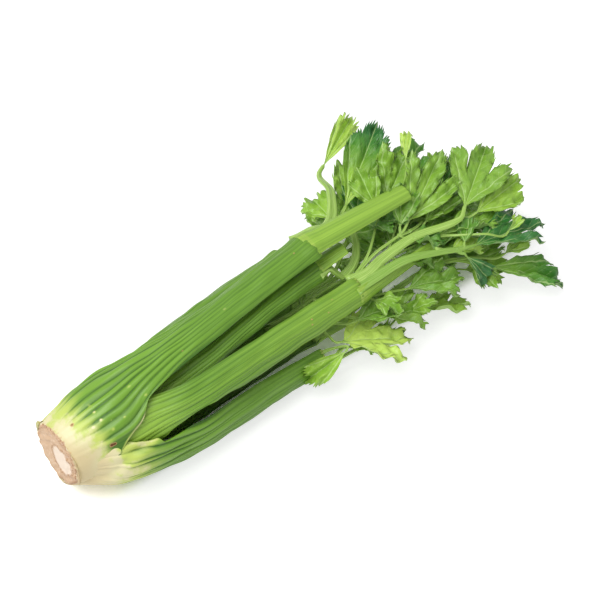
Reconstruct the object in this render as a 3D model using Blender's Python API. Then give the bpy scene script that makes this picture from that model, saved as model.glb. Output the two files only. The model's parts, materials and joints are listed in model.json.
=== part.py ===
"""Head of celery, laid on its side: a cut crown, eleven stalks in four layers, and their leaves.

The head lies along +X, from its cut end to its leaf tips, and its lowest stalks rest on z = 0.
The origin is the middle of the head's outline on the surface that it lies on.
Angles round the head are in degrees: 0 faces -Y, 90 faces up.
"""

import math
from typing import NamedTuple

import bmesh
import bpy
import numpy as np
from mathutils import Matrix
from mathutils.bvhtree import BVHTree

MM = 0.001

# Driving dimensions
AXIS_HEIGHT = 40 * MM  # the head's middle above the lowest stalk, before it is set down
SHEATH_EDGE = 1.2 * MM  # thickness of a stalk's pale wing at its margin
SHEATH_DIP = 3.4 * MM  # how far the tucked wing dips under its neighbour
LEAF_THICKNESS = 1.0 * MM
CLEARANCE = 0.4 * MM  # least gap between two pieces
JOINT_GAP = 1.0 * MM  # gap between a stalk's end and the stems that go on from it

CROWN_PROFILE = [  # (distance from the stalks' cut ends, radius) of the turned crown
    (-4.4, 21.5),
    (-3.0, 24.8),
    (-0.5, 26.0),
    (-0.5, 14.4),
    (17.3, 14.4),
    (17.3, 9.8),
    (25.3, 9.8),
    (25.3, 4.0),
    (33.0, 3.2),
    (35.0, 0.0),
]


class Layer(NamedTuple):
    """Cross-sections of the stalks of one layer, at distances from where they leave the crown.

    The distances after near are shares of what is left to the joint.
    """

    start: float
    near: list
    far: list
    out: list  # radius of the ribbed back round the head's axis, at the near distances
    bend: list  # radius that the crescent is bent to
    half: list  # half the crescent's width, along its back
    thick: list  # thickness at the middle, less SHEATH_EDGE
    dip: float  # share of SHEATH_DIP


class Stalk(NamedTuple):
    name: str
    layer: str
    turn: float  # angle round the head at the crown
    joint: tuple  # where its back ends at the first joint: along, across, above the head's axis, in mm
    facing: float  # the angle that its back faces at the joint
    width: float = 1.0
    belly: float = 0.0  # how much further out its back is where the head is widest, in mm


class Top(NamedTuple):
    """The trimmed middle of a stalk, which goes on past the joint. Pairs are for its start and its end."""

    name: str
    stalk: str
    turn: float  # radians round the stalk's crescent, where its middle is
    end: tuple  # along, across, above the surface, in mm
    bend: tuple
    half: tuple
    thick: tuple


class Leaf(NamedTuple):
    name: str
    parent: str  # a stalk, which it leaves at the joint, or an earlier leaf
    leaves: float  # the place it leaves: radians round a stalk's crescent, or the share of a leaf's stem
    stem: float  # the stem's thickness where it starts, in mm
    base: tuple  # where the blade begins: along, across, above the surface, in mm
    tip: tuple  # where the blade ends
    breadth: float  # half of the blade's fan, in degrees
    roll: float = 0.0  # turn of the blade about its own length, 0 with its upper side up
    fold: float = 0.3  # how far the margins rise beside the midrib, as a slope
    curl: float = 20.0  # how far the blade bends down along its length, in degrees
    via: tuple = ()  # places that the stem passes, if it doesn't go straight


LAYERS = {
    "outer": Layer(
        start=0.0,
        near=[0, 20, 45, 70, 100],
        far=[0.25, 0.6, 1.0],
        out=[26.5, 33.0, 37.5, 40.5, 42.5],
        bend=[26.5, 33.0, 37.0, 36.0, 27.0, 18.5, 15.0, 12.5],
        half=[32.4, 39.6, 42.0, 34.0, 24.0, 21.5, 19.5, 16.0],
        thick=[5.0, 6.0, 6.5, 7.0, 7.0, 6.5, 6.0, 5.5],
        dip=1.0,
    ),
    "second": Layer(
        start=0.0,
        near=[0, 20, 45, 70, 100],
        far=[0.25, 0.6, 1.0],
        out=[19.4, 24.8, 28.4, 31.8, 37.2],
        bend=[19.4, 24.5, 28.0, 28.0, 23.0, 18.0, 14.0, 11.0],
        half=[18.4, 24.0, 27.0, 24.0, 20.4, 19.5, 17.5, 13.5],
        thick=[3.6, 4.8, 5.8, 6.2, 6.8, 6.5, 6.0, 5.5],
        dip=0.0,
    ),
    "inner": Layer(
        start=18.0,
        near=[0, 20, 45, 80],
        far=[0.3, 1.0],
        out=[15.3, 18.8, 22.0, 24.5],
        bend=[15.3, 18.8, 18.5, 13.5, 11.0, 9.5],
        half=[14.0, 18.0, 16.5, 14.5, 13.0, 11.5],
        thick=[3.0, 3.8, 4.4, 4.8, 4.8, 4.6],
        dip=0.0,
    ),
    "heart": Layer(
        start=26.0,
        near=[0, 25, 60],
        far=[0.5, 1.0],
        out=[8.8, 9.6, 10.5],
        bend=[8.0, 7.5, 6.5, 5.5, 5.0],
        half=[8.0, 8.0, 7.5, 6.5, 6.0],
        thick=[2.4, 2.8, 3.0, 3.0, 2.8],
        dip=0.0,
    ),
}

STALKS = [
    Stalk("outer_stalk_1", "outer", 98, (238, 19, 50), 102),
    Stalk("outer_stalk_2", "outer", -26, (212, -42, -22), 0, belly=7),
    Stalk("outer_stalk_3", "outer", 218, (236, 38, -26), 218),
    Stalk("second_stalk_1", "second", 33, (255, -29, 24), 48),
    Stalk("second_stalk_2", "second", 153, (228, 47, 14), 158),
    Stalk("second_stalk_3", "second", 273, (226, -3, -34), 272),
    Stalk("inner_stalk_1", "inner", 70, (241, 9, 17), 88),
    Stalk("inner_stalk_2", "inner", 190, (222, 18, -8), 196, 0.92),
    Stalk("inner_stalk_3", "inner", 310, (212, -14, -8), 312, 0.92),
    Stalk("heart_stalk_1", "heart", 20, (200, -12, 8), 30),
    Stalk("heart_stalk_2", "heart", 200, (188, 3, 2), 190),
]


TOPS = [
    Top("outer_stalk_1_top", "outer_stalk_1", 0.2, (331, 18, 91), (11.0, 9.0), (10.5, 9.0), (6.0, 5.0)),
    Top("second_stalk_1_top", "second_stalk_1", 0.62, (341, -19, 56), (8.0, 5.0), (7.0, 5.0), (4.0, 2.5)),
    Top("inner_stalk_1_top", "inner_stalk_1", -0.35, (257, 14, 59), (9.0, 9.0), (7.5, 7.5), (3.5, 3.0)),
]

TRIES = 900  # places that a leaf may be moved to, each on average further away
GIVE = np.array([-0.39, -0.51, 0.77])  # leaves give way mostly along this line, which leads out of the bundle
MOST_GIVE = 26.0  # mm
MOST_SHIFT = 9.0  # mm, in any direction
MOST_TURN = 50.0  # degrees, of roll
MOST_ROUND = 0.25  # radians round a stalk's crescent, or share of a stem
LAST_SHARE = 0.9  # of a stem, where another stem may still leave it

LEAVES = [
    # from the joint of the front stalk
    Leaf("leaf_01", "second_stalk_1", -1.08, 6.0, (366, -13, 72), (419, 22, 80), 38, 10,
         via=((285, -12, 66), (312, -10, 68))),
    Leaf("leaf_02", "leaf_01", 0.55, 3.4, (338, -16, 61), (388, -26, 56), 20, -20),
    Leaf("leaf_03", "second_stalk_1", -0.36, 5.0, (354, -40, 60), (422, -51, 46), 24, -20,
         via=((299, -22, 72),)),
    Leaf("leaf_04", "leaf_03", 0.85, 3.0, (346, -44, 60), (350, -62, 32), 24, -40, 0.4, 50),
    # from the trimmed stalk and the one under it
    Leaf("leaf_05", "outer_stalk_1", -1.15, 6.0, (312, 98, 62), (364, 124, 72), 19, 20,
         via=((271, 41, 77), (292, 70, 70))),
    Leaf("leaf_06", "second_stalk_2", 0.0, 4.0, (284, 58, 56), (292, 100, 46), 34, -25, 0.3, 30),
    Leaf("leaf_07", "inner_stalk_1", 0.85, 5.5, (300, 43, 66), (371, 86, 86), 28, 15,
         via=((256, 0, 55), (271, 5, 57), (285, 22, 60))),
    Leaf("leaf_08", "heart_stalk_1", -0.3, 3.8, (319, 0, 72), (375, 29, 92), 30, 20,
         via=((245, -12, 58), (284, -4, 66))),
    Leaf("leaf_09", "second_stalk_3", -0.8, 6.0, (370, -42, 26), (428, -86, 6), 20, 0),
    Leaf("leaf_10", "inner_stalk_3", -0.7, 4.0, (232, -36, 34), (284, -52, 12), 46, -10, 0.2, 15),
    Leaf("leaf_11", "second_stalk_2", 0.9, 4.0, (316, 42, 58), (386, 68, 62), 34, -10),
    Leaf("leaf_12", "second_stalk_2", -0.9, 4.0, (300, 50, 46), (352, 84, 44), 36, 10),
    Leaf("leaf_13", "heart_stalk_1", 0.9, 3.0, (352, 28, 54), (394, 54, 58), 26, -20),
    Leaf("leaf_14", "leaf_08", 0.5, 2.4, (322, 30, 72), (362, 52, 84), 32, 20),
    Leaf("leaf_15", "leaf_13", 0.6, 2.0, (356, 48, 77), (380, 76, 90), 12, 0),
    # over the middle
    Leaf("leaf_16", "leaf_08", 0.9, 2.4, (337, 0, 62), (378, 12, 76), 24, 30),
    Leaf("leaf_17", "leaf_16", 0.4, 2.2, (358, 14, 60), (400, 40, 66), 18, 30),
    Leaf("leaf_18", "leaf_01", 0.85, 2.6, (373, -20, 68), (420, -12, 68), 30, 30),
    Leaf("leaf_19", "leaf_03", 0.7, 2.2, (342, -27, 52), (368, -34, 48), 32, 0),
    Leaf("leaf_20", "leaf_02", 0.85, 2.2, (384, -46, 62), (400, -42, 68), 18, 40, via=((364, -40, 67),)),
    # low at the front
    Leaf("leaf_21", "inner_stalk_3", 0.1, 3.6, (246, -30, 38), (282, -36, 36), 32, 0),
    Leaf("leaf_22", "inner_stalk_3", 0.9, 3.4, (268, -34, 31), (306, -42, 20), 34, 10),
    Leaf("leaf_23", "heart_stalk_2", -0.5, 3.4, (296, -30, 40), (338, -42, 34), 30, 0),
    Leaf("leaf_24", "outer_stalk_2", -1.0, 3.6, (224, -46, 34), (196, -56, 8), 14, -30, 0.5, 30),
    Leaf("leaf_25", "outer_stalk_2", 0.0, 5.0, (232, -50, 16), (264, -60, 4), 34, 0),
    Leaf("leaf_26", "outer_stalk_2", 0.9, 4.0, (254, -37, 10), (292, -40, 3), 30, 0),
    Leaf("leaf_27", "leaf_26", 0.7, 2.4, (304, -40, 14), (340, -50, 6), 34, -10),
    # low at the far end
    Leaf("leaf_28", "leaf_09", 0.7, 2.6, (358, -26, 18), (390, -42, 6), 34, 0),
    Leaf("leaf_29", "leaf_09", 0.85, 2.2, (384, -46, 36), (404, -52, 46), 20, 0),
    Leaf("leaf_30", "second_stalk_3", 0.1, 4.0, (342, -2, 20), (400, -8, 6), 34, 0),
    Leaf("leaf_31", "second_stalk_3", 1.0, 4.0, (330, 22, 20), (390, 32, 8), 34, 0),
    # behind
    Leaf("leaf_32", "outer_stalk_3", 0.0, 6.0, (312, 52, 22), (372, 78, 6), 38, 0),
    Leaf("leaf_33", "outer_stalk_3", 0.9, 4.4, (300, 36, 30), (352, 42, 24), 34, 0),
    Leaf("leaf_34", "outer_stalk_3", -0.9, 4.4, (292, 60, 14), (322, 96, 4), 38, 0),
    Leaf("leaf_35", "leaf_33", 0.4, 2.6, (318, 46, 34), (372, 54, 26), 30, 0),
    Leaf("leaf_36", "inner_stalk_2", 0.0, 5.0, (340, 22, 42), (404, 32, 40), 34, 0),
    Leaf("leaf_37", "inner_stalk_2", 0.9, 4.0, (316, 58, 33), (356, 88, 24), 32, 0),
    Leaf("leaf_38", "inner_stalk_2", -0.9, 4.0, (352, 4, 36), (414, 0, 28), 34, 0),
    Leaf("leaf_39", "heart_stalk_2", 0.8, 3.0, (330, -4, 47), (386, -8, 46), 30, 0, via=((245, 3, 47),)),
]


def smooth_through(keys, values, at):
    """Values at the places `at`, on a curve through the keys that doesn't overshoot (monotone cubic)."""
    keys, values, at = (np.asarray(v, float) for v in (keys, values, at))
    slope = np.diff(values) / np.diff(keys)
    middle = np.where(slope[1:] * slope[:-1] > 0, (slope[1:] + slope[:-1]) / 2, 0.0)
    limit = 3 * np.minimum(abs(slope[1:]), abs(slope[:-1]))
    tangent = np.concatenate([[slope[0]], np.clip(middle, -limit, limit), [slope[-1]]])
    i = np.clip(np.searchsorted(keys, at, side="right") - 1, 0, len(keys) - 2)
    span = keys[i + 1] - keys[i]
    t = (at - keys[i]) / span
    return (
        values[i] * (1 + 2 * t) * (1 - t) ** 2
        + tangent[i] * span * t * (1 - t) ** 2
        + values[i + 1] * t**2 * (3 - 2 * t)
        - tangent[i + 1] * span * t**2 * (1 - t)
    )


def smoothstep(low, high, x):
    t = np.clip((np.asarray(x, float) - low) / (high - low), 0, 1)
    return t * t * (3 - 2 * t)


def round_the_head(degrees):
    """Unit vector across the head for an angle round it: 0 faces -Y, 90 faces up."""
    a = np.radians(degrees)
    return np.stack([np.zeros_like(a), -np.cos(a), np.sin(a)], axis=-1)


def unit(v):
    return v / np.linalg.norm(v, axis=-1, keepdims=True)


def frames_along(line, outward):
    """Unit tangents, outward normals and side vectors along a line of points."""
    tangent = unit(np.gradient(line, axis=0))
    outward = unit(outward - np.sum(outward * tangent, axis=1, keepdims=True) * tangent)
    return tangent, outward, np.cross(tangent, outward)


class StalkShape:
    """The line, frames and crescent sections of one stalk, at any number of stations."""

    def __init__(self, stalk):
        self.stalk = stalk
        layer = self.layer = LAYERS[stalk.layer]
        reach = stalk.joint[0] - layer.start
        last_near = layer.near[-1]
        self.keys = layer.near + [last_near + f * (reach - last_near) for f in layer.far]
        self.reach = reach
        base_dirs = round_the_head(np.full(len(layer.near), float(stalk.turn)))
        out = np.array(layer.out) + stalk.belly * smoothstep(0, 35, layer.near)
        near_points = base_dirs * out[:, None]
        near_points[:, 0] = layer.start + np.array(layer.near)
        self.line_keys = layer.near + [reach]
        self.line_points = np.vstack([near_points, stalk.joint])

    def at(self, along):
        """(points of the back's middle line, tangents, outward normals, side vectors), in metres."""
        line = np.stack(
            [smooth_through(self.line_keys, self.line_points[:, k], along) for k in range(3)], axis=1
        )
        twist = smoothstep(0.1 * self.reach, 0.8 * self.reach, along)
        turns = self.stalk.turn + (self.stalk.facing - self.stalk.turn) * twist
        line = line * MM + np.array([0, 0, AXIS_HEIGHT])
        return (line, *frames_along(line, round_the_head(turns)))

    def size(self, values, along):
        return smooth_through(self.keys, values, along) * MM * self.stalk.width

    def rings(self, along, across_out, across_in):
        """One closed loop of points for each station: over the back, then back through the channel."""
        line, tangent, normal, side = self.at(along)
        bend = self.size(self.layer.bend, along)[:, None]
        half = self.size(self.layer.half, along)[:, None]
        thick = self.size(self.layer.thick, along)[:, None]
        fade = 1 - smoothstep(70, 100, along)[:, None]

        def surface(across, inner):
            angle = across * half / bend
            body = np.clip(1 - (across / 0.8) ** 2, 0, 1) ** 1.2
            depth = inner * (thick * body + SHEATH_EDGE)
            dip = SHEATH_DIP * self.layer.dip * smoothstep(-0.5, -0.78, across) * fade
            radius = bend - depth - dip
            return (
                line[:, None]
                + side[:, None] * (radius * np.sin(angle))[..., None]
                + normal[:, None] * (radius * np.cos(angle) - bend)[..., None]
            )

        return np.concatenate([surface(across_out, 0.0), surface(across_in[::-1], 1.0)], axis=1)


def fan_outline(share):
    """How far the margin is from the blade's base at each angle, as a share of its length.

    The middle lobe is the longest of three, and the two clefts between them narrow inwards.
    """
    envelope = 1 - 0.42 * np.abs(share) ** 1.6
    from_cleft = np.abs(np.cos(1.5 * math.pi * share))
    return envelope * (0.66 + 0.34 * from_cleft**0.7)


def blade_points(leaf, u, share, length):
    """Points of the blade's middle surface in its own frame: x along it, y across, z over its upper side.

    A fan: the distance from the base is u times the outline at that angle. The margins rise beside
    the midrib, each lobe is a shallow trough, and the whole blade bends down on a circle.
    """
    angle = share * math.radians(leaf.breadth)
    r = length * u * fan_outline(share)
    x, y = r * np.cos(angle), r * np.sin(angle)
    trough = -0.05 * length * u**2 * np.cos(3 * math.pi * share)
    z = leaf.fold * np.abs(y) + trough
    bend = math.radians(leaf.curl) / length
    sine, cosine = np.sin(bend * x), np.cos(bend * x)
    return np.stack([(1 / bend + z) * sine, y, (1 / bend + z) * cosine - 1 / bend], axis=-1)


class LeafShape:
    """The stem's line and the blade's frame of one leaf."""

    def __init__(self, leaf, start, heading):
        self.leaf = leaf
        base, tip = np.array(leaf.base) * MM, np.array(leaf.tip) * MM
        self.base, self.length = base, float(np.linalg.norm(tip - base))
        along = (tip - base) / self.length
        way = [start, *(np.array(place) * MM for place in leaf.via), base]
        first, last = np.linalg.norm(way[1] - way[0]), np.linalg.norm(way[-1] - way[-2])
        self.knots = np.array(
            [start, start + heading * first * 0.25, *way[1:-1], base - along * last * 0.2, base]
        )
        self.marks = np.append(0, np.cumsum(np.linalg.norm(np.diff(self.knots, axis=0), axis=1)))
        level = unit(np.cross([0.0, 0.0, 1.0], along))
        raised = np.cross(along, level)
        roll = math.radians(leaf.roll)
        self.side = level * math.cos(roll) + raised * math.sin(roll)
        up = np.cross(along, self.side)
        chord = math.radians(leaf.curl) / 2  # a blade that bends down starts out above its chord
        self.along = along * math.cos(chord) + up * math.sin(chord)
        self.up = up * math.cos(chord) - along * math.sin(chord)

    def stem_radius(self, share):
        first = self.leaf.stem / 2 * MM
        last = min(0.5 * first, 1.5 * MM)
        return first + (last - first) * np.asarray(share) ** 0.8

    def stem_line(self, share):
        marks = np.atleast_1d(share) * self.marks[-1]
        return np.stack([smooth_through(self.marks, self.knots[:, k], marks) for k in range(3)], axis=1)

    def stem_heading(self, share):
        near = np.clip(np.array([share - 0.02, share + 0.02]), 0, 1)
        return unit(np.diff(self.stem_line(near), axis=0)[0])

    def stem_rings(self, share, across, swell):
        """Circles round the stem, each turned as little as can be from the one after it."""
        line = self.stem_line(share)
        tangent = np.array([self.stem_heading(s) for s in share])
        side = np.empty_like(line)
        last = self.side
        for k in reversed(range(len(share))):
            last = side[k] = unit(last - (last @ tangent[k]) * tangent[k])
        up = np.cross(tangent, side)
        radius = (self.stem_radius(share) + swell)[:, None, None]
        turn = math.pi / 2 * across
        sideways = np.concatenate([np.sin(turn), np.sin(turn[::-1])])[:, None]
        upwards = np.concatenate([np.cos(turn) + 0.02, -np.cos(turn[::-1]) - 0.02])[:, None]
        return line[:, None] + radius * (sideways * side[:, None] + upwards * up[:, None])

    def rings(self, stem_steps, blade_steps, across, swell=0.0):
        """Loops of points: round the stem, then over the blade's upper side and back under it."""
        stem = self.stem_rings(np.linspace(0, 1, stem_steps + 1)[:-1], across, swell)
        u = (np.arange(blade_steps) + 1.0)[:, None] / blade_steps
        flat = blade_points(self.leaf, 0.08 + 0.92 * u, across[None], self.length)
        lift = np.array([0, 0, LEAF_THICKNESS / 2 + swell])
        raised = np.concatenate([flat + lift, (flat - lift)[:, ::-1]], axis=1)
        blade = self.base + raised @ np.stack([self.along, self.side, self.up])
        return np.concatenate([stem, blade])


def solid_data(rings):
    """Vertices and faces of a loft: triangles between successive loops, and a strip that closes each end.

    The second half of every loop runs back beside its first, so an end closes with quads across it.
    The two halves are split along diagonals that lie over each other, so a thin blade's upper and
    lower sheets stay apart where they are twisted.
    """
    count, around = rings.shape[:2]
    first = np.arange(count - 1)[:, None] * around
    here = np.arange(around)[None]
    beside = (here + 1) % around
    quads = np.stack([first + here, first + beside, first + around + beside, first + around + here], axis=-1)
    upper = (here < around // 2)[..., None]
    quads = np.where(upper, quads, np.roll(quads, -1, axis=-1)).reshape(-1, 4)
    faces = quads[:, [0, 1, 2]].tolist() + quads[:, [0, 2, 3]].tolist()
    for k in range(around // 2 - 1):
        strip = [k, k + 1, around - 2 - k, around - 1 - k]
        faces.append(strip[::-1])
        faces.append([(count - 1) * around + v for v in strip])
    return rings.reshape(-1, 3), faces


def principled(name, colour, roughness):
    material = bpy.data.materials.new(name)
    material.use_nodes = True
    shader = material.node_tree.nodes["Principled BSDF"]
    shader.inputs["Base Color"].default_value = (*colour, 1.0)
    shader.inputs["Roughness"].default_value = roughness
    shader.inputs["Metallic"].default_value = 0.0
    return material


def add_solid(name, points, faces, material):
    mesh = bpy.data.meshes.new(name)
    mesh.from_pydata([tuple(p) for p in points], [], faces)
    work = bmesh.new()
    work.from_mesh(mesh)
    bmesh.ops.recalc_face_normals(work, faces=work.faces)
    work.to_mesh(mesh)
    work.free()
    mesh.materials.append(material)
    solid = bpy.data.objects.new(name, mesh)
    bpy.context.scene.collection.objects.link(solid)
    return solid


def build_crown(material):
    """The compressed stem that every stalk grows from: a turned core with a shoulder for each inner layer."""
    work = bmesh.new()
    profile = [work.verts.new((x * MM, 0, r * MM)) for x, r in CROWN_PROFILE]
    centre = work.verts.new((CROWN_PROFILE[0][0] * MM, 0, 0))
    outline = [centre, *profile]
    edges = [work.edges.new(pair) for pair in zip(outline, outline[1:])]
    bmesh.ops.spin(
        work,
        geom=outline + edges,
        cent=(0, 0, 0),
        axis=(1, 0, 0),
        angle=2 * math.pi,
        steps=32,
        use_merge=True,
    )
    bmesh.ops.remove_doubles(work, verts=work.verts, dist=0.01 * MM)
    bmesh.ops.recalc_face_normals(work, faces=work.faces)
    bmesh.ops.translate(work, verts=work.verts, vec=(0, 0, AXIS_HEIGHT))
    mesh = bpy.data.meshes.new("crown")
    work.to_mesh(mesh)
    work.free()
    mesh.materials.append(material)
    mesh.shade_smooth()
    crown = bpy.data.objects.new("crown", mesh)
    bpy.context.scene.collection.objects.link(crown)
    return crown


def tree_of(points, faces):
    return BVHTree.FromPolygons([tuple(p) for p in points], faces)


class Scene:
    """Builds the pieces in turn, and remembers the ones that later leaves have to miss."""

    def __init__(self):
        self.trees = []
        self.shapes = {}

    def add(self, name, rings, material):
        points, faces = solid_data(rings)
        self.trees.append(tree_of(points, faces))
        return add_solid(name, points, faces, material)

    def is_clear(self, rings):
        if rings[..., 2].min() < self.floor:
            return False
        tree = tree_of(*solid_data(rings))
        return not any(tree.overlap(other) for other in self.trees)


def build_stalks(scene, material):
    across = np.linspace(-1, 1, 9)
    for stalk in STALKS:
        shape = StalkShape(stalk)
        along = np.linspace(0, shape.reach - shape.layer.start, 11)
        rings = shape.rings(along, across, across)
        scene.add(stalk.name, rings, material)
        scene.shapes[stalk.name] = shape
    scene.floor = min(v.co.z for o in bpy.data.objects for v in o.data.vertices)


def joint_place(shape, angle):
    """A place in the end of a stalk at its joint, so far round its crescent, with the way out and on."""
    line, tangent, normal, side = (v[-1] for v in shape.at(np.array([0, shape.keys[-1]])))
    ends = np.array([shape.keys[-1]])
    bend, thick = shape.size(shape.layer.bend, ends)[0], shape.size(shape.layer.thick, ends)[0]
    outward = side * math.sin(angle) + normal * math.cos(angle)
    return line - normal * bend + outward * bend, tangent, outward, thick


def build_tops(scene, material):
    across = np.linspace(-1, 1, 9)
    for top in TOPS:
        start, tangent, normal, thick = joint_place(scene.shapes[top.stalk], top.turn)
        reach = np.array(top.end) * MM - start
        length = float(np.linalg.norm(reach))
        along = np.linspace(1.6 * JOINT_GAP, length, 5)
        line = start + reach / length * along[:, None]
        heading = reach / length
        normal = unit(normal - (normal @ heading) * heading)
        side = np.cross(heading, normal)
        bend, half, thick = (np.interp(along, [0, length], pair)[:, None] * MM for pair in top[4:])
        angle = across * half / bend
        depth = thick * np.clip(1 - (across / 0.8) ** 2, 0, 1) ** 1.2 + SHEATH_EDGE

        def surface(radius):
            return (
                line[:, None]
                + side * (radius * np.sin(angle))[..., None]
                + normal * (radius * np.cos(angle) - bend)[..., None]
            )

        rings = np.concatenate([surface(bend), surface(bend - depth)[:, ::-1]], axis=1)
        scene.add(top.name, rings, material)


def leaf_start(scene, leaf):
    """Where a leaf's stem starts, and its first heading."""
    shape = scene.shapes[leaf.parent]
    if isinstance(shape, StalkShape):
        back, tangent, outward, thick = joint_place(shape, leaf.leaves)
        return back - outward * thick / 2 + tangent * JOINT_GAP, tangent
    share = min(leaf.leaves, LAST_SHARE)
    start = shape.stem_line(share)[0]
    heading = shape.stem_heading(share)
    away = np.array(leaf.base) * MM - start
    away = unit(away - (away @ heading) * heading)
    apart = shape.stem_radius(share) + leaf.stem / 2 * MM + 2 * CLEARANCE
    return start + away * apart, heading


def places_for(leaf, number):
    """The leaf as drawn, then moved further and further along GIVE and turned more."""
    yield leaf
    draw = np.random.default_rng(number)
    for k in range(1, TRIES + 1):
        share = k / TRIES
        give, shift = draw.uniform(-1, 1, (2, 1)), draw.uniform(-1, 1, (2, 3))
        base, tip = (give * MOST_GIVE * GIVE + shift * MOST_SHIFT) * share
        turn, around = draw.uniform(-1, 1, 2) * share
        yield leaf._replace(
            leaves=leaf.leaves + around * MOST_ROUND,
            base=tuple(leaf.base + base),
            tip=tuple(leaf.tip + tip),
            roll=leaf.roll + turn * MOST_TURN,
        )


def build_leaves(scene, material):
    """Each leaf is moved a little from where it is drawn, until it is clear of the pieces before it."""
    across = np.linspace(-1, 1, 9)
    for number, leaf in enumerate(LEAVES):
        for moved in places_for(leaf, number):
            shape = LeafShape(moved, *leaf_start(scene, moved))
            if scene.is_clear(shape.rings(4, 3, across, CLEARANCE)):
                break
        else:
            raise ValueError(f"no room for {leaf.name}")
        scene.shapes[leaf.name] = shape
        scene.add(leaf.name, shape.rings(4, 3, across), material)


def set_down():
    """Move every piece so that the origin is the middle of the head's outline, on the surface."""
    corners = np.array([v.co for o in bpy.data.objects for v in o.data.vertices])
    low, high = corners.min(axis=0), corners.max(axis=0)
    middle = (low + high) / 2
    shift = Matrix.Translation((-middle[0], -middle[1], -low[2]))
    for solid in bpy.data.objects:
        solid.data.transform(shift)


def main():
    for old in list(bpy.data.objects):
        bpy.data.objects.remove(old)
    flesh = principled("crown_flesh", (0.80, 0.68, 0.52), 0.6)
    green = principled("stalk_green", (0.30, 0.52, 0.12), 0.4)
    blade = principled("leaf_green", (0.16, 0.36, 0.06), 0.5)
    scene = Scene()
    build_crown(flesh)
    build_stalks(scene, green)
    build_tops(scene, green)
    build_leaves(scene, blade)
    set_down()


main()
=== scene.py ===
# %% [markdown]
# # A head of celery
#
# A head of celery is one plant, cut off its root. What is called a stalk is the stem of a single
# leaf: ribbed on its back, hollow like a gutter on its inner side, and widened at the bottom into
# a pale sheath that wraps round the younger stalks. All of them grow from the crown, a short
# pressed-together stem, which is what the knife went through. Further up, each stalk has a joint,
# where it splits into thinner stems that carry the leaflets.
#
# The frame holds these parts as 54 plain solids. Here every one is remade as a close-meshed surface
# in the same place, with its ribs, teeth and veins, and gets a finish worked out from its own
# coordinates.

# %% Load the frame
import json
import math
from typing import NamedTuple

import bmesh
import bpy
import numpy as np
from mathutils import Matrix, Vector

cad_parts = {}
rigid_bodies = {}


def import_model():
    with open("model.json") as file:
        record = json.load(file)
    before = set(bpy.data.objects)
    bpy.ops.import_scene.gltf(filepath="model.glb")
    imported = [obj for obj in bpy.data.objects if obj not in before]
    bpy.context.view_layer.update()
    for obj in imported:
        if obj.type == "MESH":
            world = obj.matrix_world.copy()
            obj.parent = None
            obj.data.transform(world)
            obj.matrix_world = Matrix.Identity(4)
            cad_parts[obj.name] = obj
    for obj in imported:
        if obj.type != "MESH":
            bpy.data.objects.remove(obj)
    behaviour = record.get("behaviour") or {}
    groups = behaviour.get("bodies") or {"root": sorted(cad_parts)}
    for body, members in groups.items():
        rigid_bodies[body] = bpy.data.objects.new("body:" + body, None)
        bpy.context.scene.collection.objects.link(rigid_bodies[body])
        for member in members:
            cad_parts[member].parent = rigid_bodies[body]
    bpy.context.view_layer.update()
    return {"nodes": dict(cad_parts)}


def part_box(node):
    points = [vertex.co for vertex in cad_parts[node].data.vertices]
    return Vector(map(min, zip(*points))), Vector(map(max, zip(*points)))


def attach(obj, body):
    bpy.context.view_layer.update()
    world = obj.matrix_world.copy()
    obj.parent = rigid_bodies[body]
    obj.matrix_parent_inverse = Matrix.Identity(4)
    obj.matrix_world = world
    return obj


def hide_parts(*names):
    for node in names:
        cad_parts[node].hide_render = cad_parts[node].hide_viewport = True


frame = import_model()

# %% [markdown]
# ## Where the head is
#
# It is easier to think of celery along its own length than in the frame's coordinates, so shapes
# are worked out with x from the stalks' cut ends. The crown was turned about the head's axis, and
# reaches 4.4 mm in front of those ends, so its box gives the place of that origin in the frame.

# %% Find the head's own origin
MM = 0.001
AXIS_HEIGHT = 40 * MM
CROWN_REACH = 4.4 * MM

crown_low, crown_high = (np.array(corner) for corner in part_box("crown"))
crown_middle = (crown_low + crown_high) / 2
ORIGIN = np.array([crown_low[0] + CROWN_REACH, crown_middle[1], crown_middle[2] - AXIS_HEIGHT])
print("the cut ends are at", ORIGIN.round(4))

# %% [markdown]
# ## Small tools for curves
#
# A stalk's width, thickness and line are known at a few places, and are wanted at hundreds. A
# cubic curve through the known values does that, with its slopes held back so that it doesn't
# swing past them, because a swing would show as a bulge. A sum of waves in random directions
# gives unevenness that is smooth, the same on every run, and quick for a whole array of points.


# %% Curves, frames and unevenness
def smooth_through(keys, values, at):
    """Values at the places `at`, on a monotone cubic: a curve through the keys that doesn't overshoot."""
    keys, values, at = (np.asarray(v, float) for v in (keys, values, at))
    slope = np.diff(values) / np.diff(keys)
    middle = np.where(slope[1:] * slope[:-1] > 0, (slope[1:] + slope[:-1]) / 2, 0.0)
    limit = 3 * np.minimum(abs(slope[1:]), abs(slope[:-1]))
    tangent = np.concatenate([[slope[0]], np.clip(middle, -limit, limit), [slope[-1]]])
    i = np.clip(np.searchsorted(keys, at, side="right") - 1, 0, len(keys) - 2)
    span = keys[i + 1] - keys[i]
    t = (at - keys[i]) / span
    return (
        values[i] * (1 + 2 * t) * (1 - t) ** 2
        + tangent[i] * span * t * (1 - t) ** 2
        + values[i + 1] * t**2 * (3 - 2 * t)
        - tangent[i + 1] * span * t**2 * (1 - t)
    )


def smoothstep(low, high, x):
    """0 below low, 1 above high, and 3t^2 - 2t^3 between them; low may be the larger."""
    t = np.clip((np.asarray(x, float) - low) / (high - low), 0, 1)
    return t * t * (3 - 2 * t)


def unit(v):
    return v / np.linalg.norm(v, axis=-1, keepdims=True)


def round_the_head(degrees):
    """Unit vector across the head for an angle round it: 0 faces -Y, 90 faces up."""
    a = np.radians(degrees)
    return np.stack([np.zeros_like(a), -np.cos(a), np.sin(a)], axis=-1)


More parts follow.
